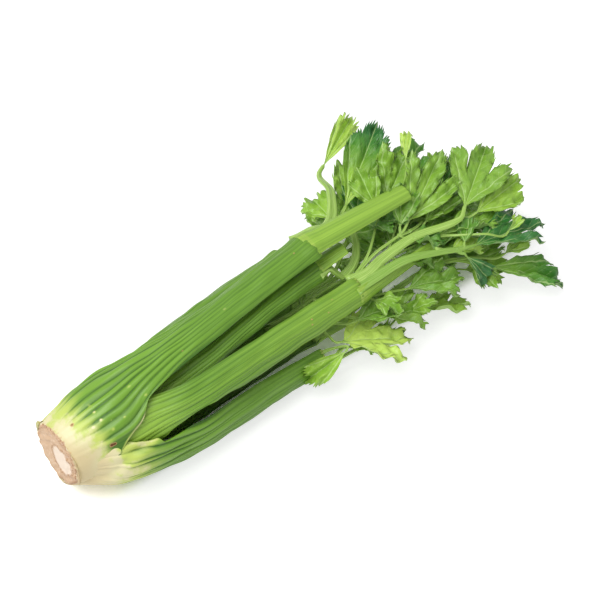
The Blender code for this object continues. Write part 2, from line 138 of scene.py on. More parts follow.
def frames_along(line, outward):
    """Unit tangents, outward normals and side vectors along a line of points."""
    tangent = unit(np.gradient(line, axis=0))
    outward = unit(outward - np.sum(outward * tangent, axis=1, keepdims=True) * tangent)
    return tangent, outward, np.cross(tangent, outward)


def unevenness(points, size, seed, waves=20):
    """About -2 to 2: sqrt(2/n) times the sum of n cosine waves of about this size.

    The waves run in random directions, and their lengths differ by up to 40 %.
    """
    draw = np.random.default_rng(seed)
    way = unit(draw.normal(size=(waves, points.shape[-1])))
    count = 2 * math.pi / size * draw.uniform(0.6, 1.4, (waves, 1))
    phase = points @ (way * count).T + draw.uniform(0, 7, waves)
    return math.sqrt(2 / waves) * np.cos(phase).sum(axis=-1)


print("a smooth step is at", float(smoothstep(0, 1, 0.5)), "in its middle")

# %% [markdown]
# ## What the stalks measure
#
# Eleven stalks stand in four layers round the heart. Those of a layer are alike, so a layer's table
# says how its cross-section changes from the crown to the joint. The outer layer's sheaths overlap
# at the bottom, which makes the bulb. The frame's solids were made with the same layers.


# %% The layers
class Layer(NamedTuple):
    start: float  # mm from the cut ends to where the layer begins
    near: list  # places along a stalk, in mm
    far: list  # places after those, as shares of what is left to the joint
    out: list  # radius of the back round the head's axis, at the near places
    bend: list  # radius that the crescent is bent to
    half: list  # half the crescent's width, along its back
    thick: list  # thickness in the middle
    dip: float  # how far a covered sheath dips: 1 in full, 0 not at all
    ribs: int
    rib_height: list  # at the near and far places


LAYERS = {
    "outer": Layer(
        start=0.0,
        near=[0, 20, 45, 70, 100],
        far=[0.25, 0.6, 1.0],
        out=[26.5, 33.0, 37.5, 40.5, 42.5],
        bend=[26.5, 33.0, 37.0, 36.0, 27.0, 18.5, 15.0, 12.5],
        half=[32.4, 39.6, 42.0, 34.0, 24.0, 21.5, 19.5, 16.0],
        thick=[5.0, 6.0, 6.5, 7.0, 7.0, 6.5, 6.0, 5.5],
        dip=1.0,
        ribs=11,
        rib_height=[0.3, 0.9, 1.5, 1.5, 1.1, 0.5, 0.3, 0.3],
    ),
    "second": Layer(
        start=0.0,
        near=[0, 20, 45, 70, 100],
        far=[0.25, 0.6, 1.0],
        out=[19.4, 24.8, 28.4, 31.8, 37.2],
        bend=[19.4, 24.5, 28.0, 28.0, 23.0, 18.0, 14.0, 11.0],
        half=[18.4, 24.0, 27.0, 24.0, 20.4, 19.5, 17.5, 13.5],
        thick=[3.6, 4.8, 5.8, 6.2, 6.8, 6.5, 6.0, 5.5],
        dip=0.0,
        ribs=10,
        rib_height=[0.1, 0.3, 0.6, 0.7, 0.55, 0.3, 0.25, 0.25],
    ),
    "inner": Layer(
        start=18.0,
        near=[0, 20, 45, 80],
        far=[0.3, 1.0],
        out=[15.3, 18.8, 22.0, 24.5],
        bend=[15.3, 18.8, 18.5, 13.5, 11.0, 9.5],
        half=[14.0, 18.0, 16.5, 14.5, 13.0, 11.5],
        thick=[3.0, 3.8, 4.4, 4.8, 4.8, 4.6],
        dip=0.0,
        ribs=9,
        rib_height=[0.1, 0.3, 0.5, 0.5, 0.45, 0.35],
    ),
    "heart": Layer(
        start=26.0,
        near=[0, 25, 60],
        far=[0.5, 1.0],
        out=[8.8, 9.6, 10.5],
        bend=[8.0, 7.5, 6.5, 5.5, 5.0],
        half=[8.0, 8.0, 7.5, 6.5, 6.0],
        thick=[2.4, 2.8, 3.0, 3.0, 2.8],
        dip=0.0,
        ribs=6,
        rib_height=[0.1, 0.3, 0.3, 0.3, 0.25],
    ),
}
print("the outer layer is", 2 * max(LAYERS["outer"].out), "mm across at most")

# %% [markdown]
# ## The eleven stalks
#
# To its layer a stalk adds only its place round the head, where its joint lies, and how it differs:
# real stalks lean, and some are slimmer, paler or broader at the joint than their neighbours. Three
# of them have a trimmed top, the narrower stem above the joint.


# %% The stalks and their tops
class Stalk(NamedTuple):
    name: str
    layer: str
    turn: float  # angle round the head at the crown, in degrees
    joint: tuple  # mm along, across, and above the head's axis
    facing: float  # angle that its back faces at the joint
    width: float = 1.0  # share of the layer's measurements
    belly: float = 0.0  # how much further out its back is where the head is widest, in mm
    lean: tuple = (0.0, 0.0)  # how far its middle lies off that line, across and up, in mm
    slim: float = 1.0  # share of the layer's width that it has past the bulb
    fresh: tuple = (0.1, 0.2)  # how light its green is past the bulb, and at the joint
    broad: float = 1.0  # how much broader it is at the joint
    pale_to: float = 80.0  # mm from the cut to where it is fully green


class Top(NamedTuple):
    name: str
    stalk: str
    turn: float  # radians round the stalk's crescent
    end: tuple  # mm along and across, and above the table
    bend: tuple  # mm at the joint and at the end, here and below
    half: tuple
    thick: tuple


STALKS = [
    Stalk("outer_stalk_1", "outer", 98, (238, 19, 50), 102, lean=(3, 2), slim=0.88,
          fresh=(-0.1, -0.2), broad=1.28, pale_to=58),
    Stalk("outer_stalk_2", "outer", -26, (212, -42, -22), 0, belly=7, lean=(3, 0),
          fresh=(-0.1, -0.2), pale_to=105),
    Stalk("outer_stalk_3", "outer", 218, (236, 38, -26), 218),
    Stalk("second_stalk_1", "second", 33, (255, -29, 24), 48, belly=5, lean=(2.5, 2),
          slim=0.72, fresh=(0.15, 0.45), broad=1.2),
    Stalk("second_stalk_2", "second", 153, (228, 47, 14), 158, lean=(3, 4), fresh=(0.0, 0.25)),
    Stalk("second_stalk_3", "second", 273, (226, -3, -34), 272),
    Stalk("inner_stalk_1", "inner", 70, (241, 9, 17), 88, lean=(2, 14), broad=1.25),
    Stalk("inner_stalk_2", "inner", 190, (222, 18, -8), 196, 0.92),
    Stalk("inner_stalk_3", "inner", 310, (212, -14, -8), 312, 0.92),
    Stalk("heart_stalk_1", "heart", 20, (200, -12, 8), 30),
    Stalk("heart_stalk_2", "heart", 200, (188, 3, 2), 190),
]
TOPS = [
    Top("outer_stalk_1_top", "outer_stalk_1", 0.2, (331, 18, 91),
        bend=(11.0, 9.0), half=(10.5, 9.0), thick=(6.0, 5.0)),
    Top("second_stalk_1_top", "second_stalk_1", 0.62, (341, -19, 56),
        bend=(8.0, 5.0), half=(7.0, 5.0), thick=(4.0, 2.5)),
    Top("inner_stalk_1_top", "inner_stalk_1", -0.35, (264, 12, 76),
        bend=(9.0, 9.0), half=(8.5, 8.5), thick=(3.5, 3.0)),
]
print(len(STALKS), "stalks in", len(LAYERS), "layers, and", len(TOPS), "trimmed tops")

# %% [markdown]
# ## What the leaves measure
#
# A leaf is a stem with a blade on its end. It leaves a stalk at the joint, or the stem of an
# earlier leaf, and its blade lies between two places. In a real head the leaves push each other
# aside as it is laid down, and the frame's leaves did so too: each was tried where it was drawn, and
# then at places further and further away, until it was clear of those before it. So the line of
# tries has to be the same here, and the frame's box of a leaf says which try was kept.


# %% The leaves' measurements
class Leaf(NamedTuple):
    name: str
    parent: str
    leaves: float  # radians round the stalk's crescent, or share of the parent's stem
    stem: float  # thickness where it starts, in mm
    base: tuple  # where the blade begins, in mm
    tip: tuple
    breadth: float  # half of the blade's fan, in degrees
    roll: float = 0.0
    fold: float = 0.3  # how far the margins rise beside the midrib, as a slope
    curl: float = 20.0  # how far the blade bends down along its length, in degrees
    via: tuple = ()  # places that the stem passes


JOINT_GAP = 1.0 * MM  # between a stalk's end and a leaf's stem
CLEARANCE = 0.4 * MM  # between two stems
LEAF_THICKNESS = 1.0 * MM
LAST_SHARE = 0.9  # of a stem's length, past which no leaf grows on it
TRIES = 900
GIVE = np.array([-0.39, -0.51, 0.77])  # the way that a leaf is pushed most easily
MOST_GIVE = 26.0  # mm along that way, at the last try
MOST_SHIFT = 9.0  # mm any way
MOST_TURN = 50.0  # degrees that its blade is rolled
MOST_ROUND = 0.25  # radians round its stalk

LEAVES = [
    # from the joint of the front stalk
    Leaf("leaf_01", "second_stalk_1", -1.08, 6.0, (366, -13, 72), (419, 22, 80), 38, 10,
         via=((285, -12, 66), (312, -10, 68))),
    Leaf("leaf_02", "leaf_01", 0.55, 3.4, (338, -16, 61), (388, -26, 56), 20, -20),
    Leaf("leaf_03", "second_stalk_1", -0.36, 5.0, (354, -40, 60), (422, -51, 46), 24, -20,
         via=((299, -22, 72),)),
    Leaf("leaf_04", "leaf_03", 0.85, 3.0, (346, -44, 60), (350, -62, 32), 24, -40, 0.4, 50),
    # from the trimmed stalk and the one under it
    Leaf("leaf_05", "outer_stalk_1", -1.15, 6.0, (312, 98, 62), (364, 124, 72), 19, 20,
         via=((271, 41, 77), (292, 70, 70))),
    Leaf("leaf_06", "second_stalk_2", 0.0, 4.0, (284, 58, 56), (292, 100, 46), 34, -25, 0.3, 30),
    Leaf("leaf_07", "inner_stalk_1", 0.85, 5.5, (300, 43, 66), (371, 86, 86), 28, 15,
         via=((256, 0, 55), (271, 5, 57), (285, 22, 60))),
    Leaf("leaf_08", "heart_stalk_1", -0.3, 3.8, (319, 0, 72), (375, 29, 92), 30, 20,
         via=((245, -12, 58), (284, -4, 66))),
    Leaf("leaf_09", "second_stalk_3", -0.8, 6.0, (370, -42, 26), (428, -86, 6), 20, 0),
    Leaf("leaf_10", "inner_stalk_3", -0.7, 4.0, (232, -36, 34), (284, -52, 12), 46, -10, 0.2, 15),
    Leaf("leaf_11", "second_stalk_2", 0.9, 4.0, (316, 42, 58), (386, 68, 62), 34, -10),
    Leaf("leaf_12", "second_stalk_2", -0.9, 4.0, (300, 50, 46), (352, 84, 44), 36, 10),
    Leaf("leaf_13", "heart_stalk_1", 0.9, 3.0, (352, 28, 54), (394, 54, 58), 26, -20),
    Leaf("leaf_14", "leaf_08", 0.5, 2.4, (322, 30, 72), (362, 52, 84), 32, 20),
    Leaf("leaf_15", "leaf_13", 0.6, 2.0, (356, 48, 77), (380, 76, 90), 12, 0),
    # over the middle
    Leaf("leaf_16", "leaf_08", 0.9, 2.4, (337, 0, 62), (378, 12, 76), 24, 30),
    Leaf("leaf_17", "leaf_16", 0.4, 2.2, (358, 14, 60), (400, 40, 66), 18, 30),
    Leaf("leaf_18", "leaf_01", 0.85, 2.6, (373, -20, 68), (420, -12, 68), 30, 30),
    Leaf("leaf_19", "leaf_03", 0.7, 2.2, (342, -27, 52), (368, -34, 48), 32, 0),
    Leaf("leaf_20", "leaf_02", 0.85, 2.2, (384, -46, 62), (400, -42, 68), 18, 40, via=((364, -40, 67),)),
    # low at the front
    Leaf("leaf_21", "inner_stalk_3", 0.1, 3.6, (246, -30, 38), (282, -36, 36), 32, 0),
    Leaf("leaf_22", "inner_stalk_3", 0.9, 3.4, (268, -34, 31), (306, -42, 20), 34, 10),
    Leaf("leaf_23", "heart_stalk_2", -0.5, 3.4, (296, -30, 40), (338, -42, 34), 30, 0),
    Leaf("leaf_24", "outer_stalk_2", -1.0, 3.6, (224, -46, 34), (196, -56, 8), 14, -30, 0.5, 30),
    Leaf("leaf_25", "outer_stalk_2", 0.0, 5.0, (232, -50, 16), (264, -60, 4), 34, 0),
    Leaf("leaf_26", "outer_stalk_2", 0.9, 4.0, (254, -37, 10), (292, -40, 3), 30, 0),
    Leaf("leaf_27", "leaf_26", 0.7, 2.4, (304, -40, 14), (340, -50, 6), 34, -10),
    # low at the far end
    Leaf("leaf_28", "leaf_09", 0.7, 2.6, (358, -26, 18), (390, -42, 6), 34, 0),
    Leaf("leaf_29", "leaf_09", 0.85, 2.2, (384, -46, 36), (404, -52, 46), 20, 0),
    Leaf("leaf_30", "second_stalk_3", 0.1, 4.0, (342, -2, 20), (400, -8, 6), 34, 0),
    Leaf("leaf_31", "second_stalk_3", 1.0, 4.0, (330, 22, 20), (390, 32, 8), 34, 0),
    # behind
    Leaf("leaf_32", "outer_stalk_3", 0.0, 6.0, (312, 52, 22), (372, 78, 6), 38, 0),
    Leaf("leaf_33", "outer_stalk_3", 0.9, 4.4, (300, 36, 30), (352, 42, 24), 34, 0),
    Leaf("leaf_34", "outer_stalk_3", -0.9, 4.4, (292, 60, 14), (322, 96, 4), 38, 0),
    Leaf("leaf_35", "leaf_33", 0.4, 2.6, (318, 46, 34), (372, 54, 26), 30, 0),
    Leaf("leaf_36", "inner_stalk_2", 0.0, 5.0, (340, 22, 42), (404, 32, 40), 34, 0),
    Leaf("leaf_37", "inner_stalk_2", 0.9, 4.0, (316, 58, 33), (356, 88, 24), 32, 0),
    Leaf("leaf_38", "inner_stalk_2", -0.9, 4.0, (352, 4, 36), (414, 0, 28), 34, 0),
    Leaf("leaf_39", "heart_stalk_2", 0.8, 3.0, (330, -4, 47), (386, -8, 46), 30, 0, via=((245, 3, 47),)),
]
print(len(LEAVES), "leaves")

# %% [markdown]
# ## Wires and nodes
#
# A finish is a little network of nodes. Written out node by node it is hard to read, so a Wire
# stands for what comes out of a node, and plus, minus and times between wires and numbers add the
# Math nodes. They and every other node come from Finish.node, in the next cell, which sets the
# node's own settings first and its sockets after.


# %% Wires that do arithmetic
class Wire:
    """What comes out of one node's socket."""

    def __init__(self, finish, socket):
        self.finish, self.socket = finish, socket

    def math(self, operation, *others):
        return self.finish.node("ShaderNodeMath", [self, *others], operation=operation)

    def __add__(self, other):
        return self.math("ADD", other)

    def __sub__(self, other):
        return self.math("SUBTRACT", other)

    def __rsub__(self, other):
        return self.finish.node("ShaderNodeMath", [other, self], operation="SUBTRACT")

    def __mul__(self, other):
        return self.math("MULTIPLY", other)

    def __abs__(self):
        return self.math("ABSOLUTE")

    __radd__, __rmul__ = __add__, __mul__


print("wires can be added, subtracted and multiplied")

# %% [markdown]
# ## Finishes
#
# A Finish is a material whose network is being put together. It has one short method for each kind
# of node that is used often, such as noise, a smooth step and a mix of two colours, so that a
# finish further down reads as a recipe: this colour here, that one there.


# %% Put finishes together
class Finish:
    """A material with its Principled shader, and the means to feed it."""

    def __init__(self, name):
        self.material = bpy.data.materials.new(name)
        self.material.use_nodes = True
        self.tree = self.material.node_tree
        self.shader = self.tree.nodes["Principled BSDF"]

    def put(self, socket, value):
        """Links a wire to the socket, or sets the socket to a number, vector or colour."""
        if isinstance(value, Wire):
            self.tree.links.new(value.socket, socket)
        elif isinstance(value, tuple) and len(value) == 3 and socket.type == "RGBA":
            socket.default_value = (*value, 1.0)
        else:
            socket.default_value = value

    def node(self, kind, sockets=(), output=0, stops=None, **settings):
        """Adds a node. sockets is a list in the node's order, or a dict by name or number."""
        made = self.tree.nodes.new(kind)
        for setting, value in settings.items():
            setattr(made, setting, value)
        if stops:
            ramp = made.color_ramp.elements
            while len(ramp) < len(stops):
                ramp.new(0.5)
            for element, (place, colour) in zip(ramp, stops):
                element.position, element.color = place, (*colour, 1.0)
        named = sockets.items() if isinstance(sockets, dict) else enumerate(sockets)
        for key, value in named:
            self.put(made.inputs[key], value)
        return Wire(self, made.outputs[output])

    def attribute(self, name):
        """The three numbers of a vector attribute, each as a wire."""
        vector = self.node("ShaderNodeAttribute", output="Vector", attribute_name=name)
        return [self.node("ShaderNodeSeparateXYZ", [vector], output=k) for k in range(3)]

    def noise(self, place, scale, detail=3.0, roughness=0.5):
        """Cloudy noise, 0 to 1 with most of it near 0.5."""
        return self.node("ShaderNodeTexNoise",
                         {"Vector": place, "Scale": scale, "Detail": detail, "Roughness": roughness})

    def vector(self, x, y, z):
        return self.node("ShaderNodeCombineXYZ", [x, y, z])

    def step(self, wire, low, high):
        """0 at low, 1 at high, smooth between; low may be the larger."""
        return self.node("ShaderNodeMapRange", [wire, low, high, 0.0, 1.0],
                         interpolation_type="SMOOTHSTEP")

    def mix(self, share, first, second):
        """The first colour where share is 0, the second where it is 1."""
        return self.node("ShaderNodeMix", {0: share, 6: first, 7: second}, output=2, data_type="RGBA")

    def bump(self, height, distance, strength):
        return self.node("ShaderNodeBump",
                         {"Strength": strength, "Distance": distance, "Height": height})

    def finish(self, **sockets):
        """Puts values on the shader's own sockets, such as Base_Color, and hands the material over."""
        for name, value in sockets.items():
            self.put(self.shader.inputs[name.replace("_", " ")], value)
        return self.material


print("ready to mix finishes")

# %% [markdown]
# ## The skin of a stalk
#
# A stalk is pale where it grew in the dark, at the crown, under its neighbour's sheath and along its
# thin margins. It greens upwards, first in the grooves between the ribs and later on the
# ribs themselves, so the two colours meet in long fingers. Under the skin run strings, which show
# as fine lines. All of it follows the stalk and not the room, so it is painted on the
# stalk's own coordinates: how far along, how far across, and how high on a rib.


# %% Mix the stalk's skin
def srgb(*channels):
    """A colour given as it looks on screen, 0 to 255, made linear for the shader."""
    c = np.array(channels) / 255
    return tuple(np.where(c <= 0.04045, c / 12.92, ((c + 0.055) / 1.055) ** 2.4).tolist())


GROOVE_GREEN_AND_SHADE = srgb(50, 94, 6)  # between the ribs: their own deeper green, darkened further as painted shade in the grooves
RIB_GREEN = srgb(112, 158, 44)
YOUNG_GREEN = srgb(164, 202, 74)
BLANCHED = srgb(186, 202, 96)
CREAM = srgb(222, 210, 174)
TAN = srgb(190, 146, 100)
BROWN = srgb(98, 58, 20)

skin = Finish("stalk_skin")
along, across, height = skin.attribute("lay")
pale, young, marked = skin.attribute("tone")
object_place = skin.node("ShaderNodeTexCoord", output="Object")
strings_place = skin.vector(across * 30.0, along * 0.02, pale)
strings = skin.noise(strings_place, 1.0, 4.0, 0.6)
streaks = skin.noise(skin.vector(across * 9.0, along * 0.008, young), 1.0, 3.0, 0.5)
clouds = skin.noise(object_place, 60.0, 3.0, 0.5)
# Low on a rib the groove colour is used: partly the grooves' own deeper green, partly painted shade.
ridge = skin.step(height + (strings - 0.5) * 0.8 + (streaks - 0.5) * 0.7, -0.1, 0.95)
green = skin.mix(ridge, GROOVE_GREEN_AND_SHADE, RIB_GREEN)
green = skin.mix(skin.step(young + (streaks - 0.5) * 0.6, 0.1, 1.0), green, YOUNG_GREEN)
uneven = (height - 0.5) * 0.55 + (strings - 0.5) * 0.3 + (clouds - 0.5) * 0.2
fingers = skin.step(pale + uneven, 0.25, 0.95)
body = skin.mix(fingers, green, BLANCHED)
warm = skin.step(skin.noise(object_place, 70.0, 4.0, 0.6) + pale * 0.35, 0.72, 0.95) * fingers
body = skin.mix(warm * 0.8, body, CREAM)
body = skin.mix(skin.step(pale + (clouds - 0.5) * 0.6, 1.05, 1.6) * 0.34, body, TAN)
wear = skin.step(marked + (skin.noise(object_place, 900.0, 3.0, 0.6) - 0.5) * 0.5, 0.3, 0.6)
body = skin.mix(wear * 0.85, body, TAN)
body = skin.mix(skin.step(marked + (strings - 0.5) * 0.4, 0.58, 0.85), body, BROWN)
relief = strings + skin.noise(object_place, 1400.0, 2.0, 0.5) * 0.25
skin_material = skin.finish(
    Base_Color=body,
    Roughness=0.4 + (1 - ridge) * 0.12 + wear * 0.3,
    Normal=skin.bump(relief, 0.00022, 0.8),
)
print(skin_material.name, "has", len(skin.tree.nodes), "nodes")

# %% [markdown]
# ## The cut through the crown
#
# A knife leaves the crown flat, and it dries afterwards. The pith in the middle stays pale and a
# little pink, the ring of woody strands round it turns tan and rough, and the torn edge is darker.
# The finish takes the distances from the middle of the pith and from the head's axis, which the
# mesh carries, and breaks every border up with noise, because none of them is a true circle.

# %% Mix the cut face
PITH = srgb(232, 214, 194)
WOOD = srgb(206, 174, 142)
DRIED = srgb(150, 104, 66)
FLESH = srgb(228, 218, 180)

cut = Finish("crown_cut")
from_pith, from_axis, torn = cut.attribute("lay")
place = cut.node("ShaderNodeTexCoord", output="Object")
patches = cut.noise(place, 260.0, 4.0, 0.6)
grit = cut.noise(place, 900.0, 4.0, 0.65)
threads = cut.noise(place, 420.0, 4.0, 0.6)
ringed = cut.step(from_pith + (patches - 0.5) * 7.0, 10.0, 12.5)
face = cut.mix(ringed, PITH, WOOD)
dark_ring = cut.step(abs(from_pith + (patches - 0.5) * 6.0 - 12.8), 2.0, 0.4)
face = cut.mix(dark_ring * cut.step(grit, 0.4, 0.6) * 0.8, face, DRIED)
face = cut.mix(torn * cut.step(grit + threads, 0.85, 1.1) * 0.9, face, DRIED)
face = cut.mix(cut.step(threads, 0.54, 0.66) * ringed * 0.45, face, PITH)
flesh = cut.step(from_axis + (patches - 0.5) * 5.0, 23.8, 25.0)
face = cut.mix(flesh * 0.85, face, FLESH)
cut_material = cut.finish(
    Base_Color=face,
    Roughness=0.6 + ringed * 0.2,
    Normal=cut.bump(grit + patches, 0.0004, 0.8),
)
print(cut_material.name, "has", len(cut.tree.nodes), "nodes")

# %% [markdown]
# ## The leaf's finish
#
# A leaflet is darker and bluer above than below. Its veins are pale, and are drawn from two numbers
# that the mesh carries: the distance to the nearest lobe's main vein, and a count that passes a
# whole number at each side vein. Young leaves are yellow-green and old ones deep green, so each
# leaf also carries its age, which may rise towards the tips. The stem uses the same material,
# because it runs into the veins without a border.

# %% Mix the leaf's finish
leaf_green = Finish("leaf_green")
main_vein, side_vein, along_blade = leaf_green.attribute("veins")
age, stem_part, under = leaf_green.attribute("kind")
place = leaf_green.node("ShaderNodeTexCoord", output="Object")
mottle = leaf_green.noise(place, 130.0, 4.0, 0.6)
crinkle = leaf_green.noise(place, 700.0, 3.0, 0.6)
aged = age + (mottle - 0.5) * 0.35
blade = leaf_green.node(
    "ShaderNodeValToRGB",
    [aged],
    stops=[
        (0.0, srgb(188, 218, 98)),
        (0.25, srgb(150, 192, 66)),
        (0.5, srgb(116, 162, 52)),
        (0.75, srgb(74, 134, 38)),
        (1.0, srgb(46, 112, 50)),
    ],
)
beneath = leaf_green.mix(under * 0.5, blade, srgb(168, 198, 126))
vein_green = srgb(196, 222, 148)
main = leaf_green.step(abs(main_vein), 0.7, 0.15)
near_main = leaf_green.step(abs(main_vein), 9.0, 2.0)
side = leaf_green.step(abs(side_vein.math("FRACT") - 0.5), 0.44, 0.5) * near_main
coloured = leaf_green.mix(main * 0.48, leaf_green.mix(side * 0.3, beneath, vein_green), vein_green)
stem_place = leaf_green.vector(main_vein * 3.0, along_blade * 2.0, 0.0)
streaked = leaf_green.step(leaf_green.noise(stem_place, 1.0, 3.0, 0.5), 0.35, 0.65)
stem_green = leaf_green.mix(streaked, srgb(132, 174, 62), srgb(176, 206, 112))
stem_green = leaf_green.mix(leaf_green.step(age, 0.35, 1.0) * 0.5, stem_green, srgb(92, 140, 36))
coloured = leaf_green.mix(stem_part, coloured, stem_green)
leaf_material = leaf_green.finish(
    Base_Color=coloured,
    Roughness=0.36 + under * 0.15,
    Normal=leaf_green.bump(crinkle * 0.6 + mottle - side * 0.25 - main * 0.3, 0.0005, 0.7),
)
print(leaf_material.name, "has", len(leaf_green.tree.nodes), "nodes")

# %% [markdown]
# ## From rings of points to a piece
#
# Every stalk, top and leaf is a loft: closed loops of points, one after another along its length.
# Each loop runs out over the upper or outer side and back along the other, so the second half of
# its points lies beside the first half, and an end is closed by quads laid across it. Numbers that
# the finish reads are kept on the points. The object stays at the origin, with its place in its
# mesh, and the faces are turned outwards at the end.


# %% Turn rings into a mesh
def closed(upper, lower):
    """Loops, or numbers on them, that run out over the upper side and back along the lower one."""
    return np.concatenate([upper, lower[:, ::-1]], axis=1)


def make_piece(name, rings, numbers, material, node=None):
    """Quads between successive loops, and a strip that closes each end."""
    count, around = rings.shape[:2]
    first = np.arange(count - 1)[:, None] * around
    here = np.arange(around)[None]
    beside = (here + 1) % around
    second = first + around
    sides = np.stack([first + here, first + beside, second + beside, second + here], axis=-1)
    k = np.arange(around // 2 - 1)
    strip = np.stack([around - 1 - k, around - 2 - k, k + 1, k], axis=-1)
    faces = np.concatenate([sides.reshape(-1, 4), strip, (count - 1) * around + strip[:, ::-1]])
    mesh = bpy.data.meshes.new(name)
    mesh.vertices.add(count * around)
    mesh.vertices.foreach_set("co", (rings + ORIGIN).ravel())
    mesh.loops.add(faces.size)
    mesh.loops.foreach_set("vertex_index", faces.ravel())
    mesh.polygons.add(len(faces))
    mesh.polygons.foreach_set("loop_start", np.arange(0, faces.size, 4))
    mesh.update(calc_edges=True)
    turn_outwards(mesh)
    for key, columns in numbers.items():
        values = np.stack([np.broadcast_to(c, (count, around)) for c in columns], axis=-1)
        attribute = mesh.attributes.new(key, "FLOAT_VECTOR", "POINT")
        attribute.data.foreach_set("vector", values.astype(np.float32).ravel())
    return show(name, mesh, material, node)


def turn_outwards(mesh):
    work = bmesh.new()
    work.from_mesh(mesh)
    bmesh.ops.recalc_face_normals(work, faces=work.faces)
    work.to_mesh(mesh)
    work.free()
    mesh.shade_smooth()


def show(name, mesh, material, node):
    mesh.materials.append(material)
    piece = bpy.data.objects.new(name, mesh)
    bpy.context.scene.collection.objects.link(piece)
    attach(piece, "root")
    if node:
        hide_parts(node)
    return piece


print("ready to loft")

# %% [markdown]
# ## The stalks' lines
#
# The back of a stalk is a crescent bent round the head's axis. Its middle line starts on the crown,
# follows the layer's radius over the bulb, and runs on to the joint, while the way that it faces
# turns a little. A curve object with a profile could make this, but not a section that changes as
# much as a sheath's does, so a line and its frames are worked out here at every station.


# %% Follow a stalk's line
LEAN_FROM, LEAN_TO = 45, 200  # mm along: where a stalk starts to lean, and where it leans fully


class StalkShape:
    """The line, frames and measurements of one stalk, at any number of stations."""

    def __init__(self, stalk):
        self.stalk = stalk
        layer = self.layer = LAYERS[stalk.layer]
        reach = self.reach = stalk.joint[0] - layer.start
        last_near = layer.near[-1]
        self.keys = layer.near + [last_near + f * (reach - last_near) for f in layer.far]
        ways_out = round_the_head(np.full(len(layer.near), float(stalk.turn)))
        out = np.array(layer.out) + stalk.belly * smoothstep(0, 35, layer.near)
        near_points = ways_out * out[:, None]
        near_points[:, 0] = layer.start + np.array(layer.near)
        self.line_keys = layer.near + [reach]
        self.line_points = np.vstack([near_points, stalk.joint])

    def at(self, along, leaning=True):
        """(points of the back's middle line, tangents, outward normals, side vectors), in metres."""
        line = np.stack(
            [smooth_through(self.line_keys, self.line_points[:, k], along) for k in range(3)], axis=1
        )
        twist = smoothstep(0.1 * self.reach, 0.8 * self.reach, along)
        turns = self.stalk.turn + (self.stalk.facing - self.stalk.turn) * twist
        leant = leaning * smoothstep(LEAN_FROM, LEAN_TO, along)[:, None]
        line[:, 1:] += leant * np.array(self.stalk.lean)
        line = line * MM + np.array([0, 0, AXIS_HEIGHT])
        return (line, *frames_along(line, round_the_head(turns)))

    def size(self, values, along):
        """A measurement given at the layer's keys, in metres, at the places along."""
        return smooth_through(self.keys, values, along) * MM * self.stalk.width


print("the stalks' lengths in mm:", [StalkShape(stalk).reach for stalk in STALKS])

# %% [markdown]
# ## Ribs and sections
#
# The ribs run a stalk's whole length, so they spread on the wide sheath and close up on the narrow
# stalk above. They are made as real shape, because they catch the light and break the outline.
# Each is a rounded ridge with a sharp groove on either side, and no two are equally wide or high.


# %% Ribs and the crescent section
RIBBED = 0.93  # share of the back that has ribs, out from its middle
BODY = 0.8  # share of the section that is thick; the rest is a thin wing
WING = 1.2 * MM  # thickness of that wing


def ribs_across(across, ribs, seed):
    """0 in a groove, and up to 1 on a rib: share * (1 - t^2)^0.8, with t from -1 to 1 over one rib."""
    draw = np.random.default_rng(seed)
    edges = np.linspace(-RIBBED, RIBBED, ribs + 1)
    edges[1:-1] += draw.uniform(-0.35, 0.35, ribs - 1) * (edges[1] - edges[0])
    share = draw.uniform(0.7, 1.0, ribs)
    i = np.clip(np.searchsorted(edges, across) - 1, 0, ribs - 1)
    t = np.clip(2 * (across - edges[i]) / (edges[i + 1] - edges[i]) - 1, -1, 1)
    return share[i] * (1 - t * t) ** 0.8


def crescent(line, normal, side, bend, half, thick, share, across, inner, lift):
    """Points of a strip bent to the radius bend: its back if inner is 0, its channel if inner is 1.

    The angle is across * half / bend, and the radius is bend + lift, less inner times the wall. The
    wall is thick * (1 - (share / BODY)^2)^1.2 + WING.
    """
    angle = across * half / bend
    body = np.clip(1 - (share / BODY) ** 2, 0, 1) ** 1.2
    radius = bend - inner * (thick * body + WING) + lift
    return (
        line[:, None]
        + side[:, None] * (radius * np.sin(angle))[..., None]
        + normal[:, None] * (radius * np.cos(angle) - bend)[..., None]
    )


print("eleven ribs reach", ribs_across(np.linspace(-1, 1, 500), 11, 0).max().round(2), "at most")

# %% [markdown]
# ## Sheaths that overlap
#
# On the bulb the top stalk's sheath wraps over the front stalk's, which dips to pass under it, and
# the middle stalk's lower edge is tucked in below both. Such edges wander, so each is a short list
# of places along the stalk, in mm, and of where the edge is there. The strip's places across are
# then stretched on that side only, so that the ribs stay where they were on the other.


# %% Edges of the sheaths
WRAPPING = {  # the edge that wraps over: mm round the stalk's own back
    "outer_stalk_1": (
        [-4, 5, 13, 24, 30, 36, 45, 53, 58, 62, 66, 77, 100, 137, 190, 238],
        [54, 58, 55, 51, 47, 44, 40.5, 38, 35, 30.5, 27.5, 24.5, 21, 19.5, 19, 19.5],
    ),
}
COVERED = {  # where that edge lies on the stalk below it: share of half its width
    "outer_stalk_2": ([-4, 8, 18, 28, 36, 44, 56], [-0.02, -0.05, -0.2, -0.42, -0.6, -0.78, -1.0]),
}
OTHERS_COVERED = -0.62  # the same on the other outer stalks
TUCKED = {  # the edge that is tucked in: share of half the width
    "second_stalk_1": (
        [0, 57, 66, 75, 83, 91, 101, 111, 125, 139, 153, 255],
        [1, 1, 0.88, 0.74, 0.7, 0.58, 0.55, 0.66, 0.78, 0.9, 1, 1],
    ),
}
FLAP = {  # the other edge of the front stalk, which ends in a flap: share of half the width
    "outer_stalk_2": (
        [0, 31, 43, 52, 60, 64, 75, 94, 220],
        [1.0, 1.0, 0.9, 0.86, 0.9, 0.8, 0.86, 1.0, 1.0],
    ),
}
SHEATH_DIP = 3.4 * MM  # how far a covered sheath dips
SHEATH_RIM = 0.9 * MM  # how far the edge that wraps over stands up


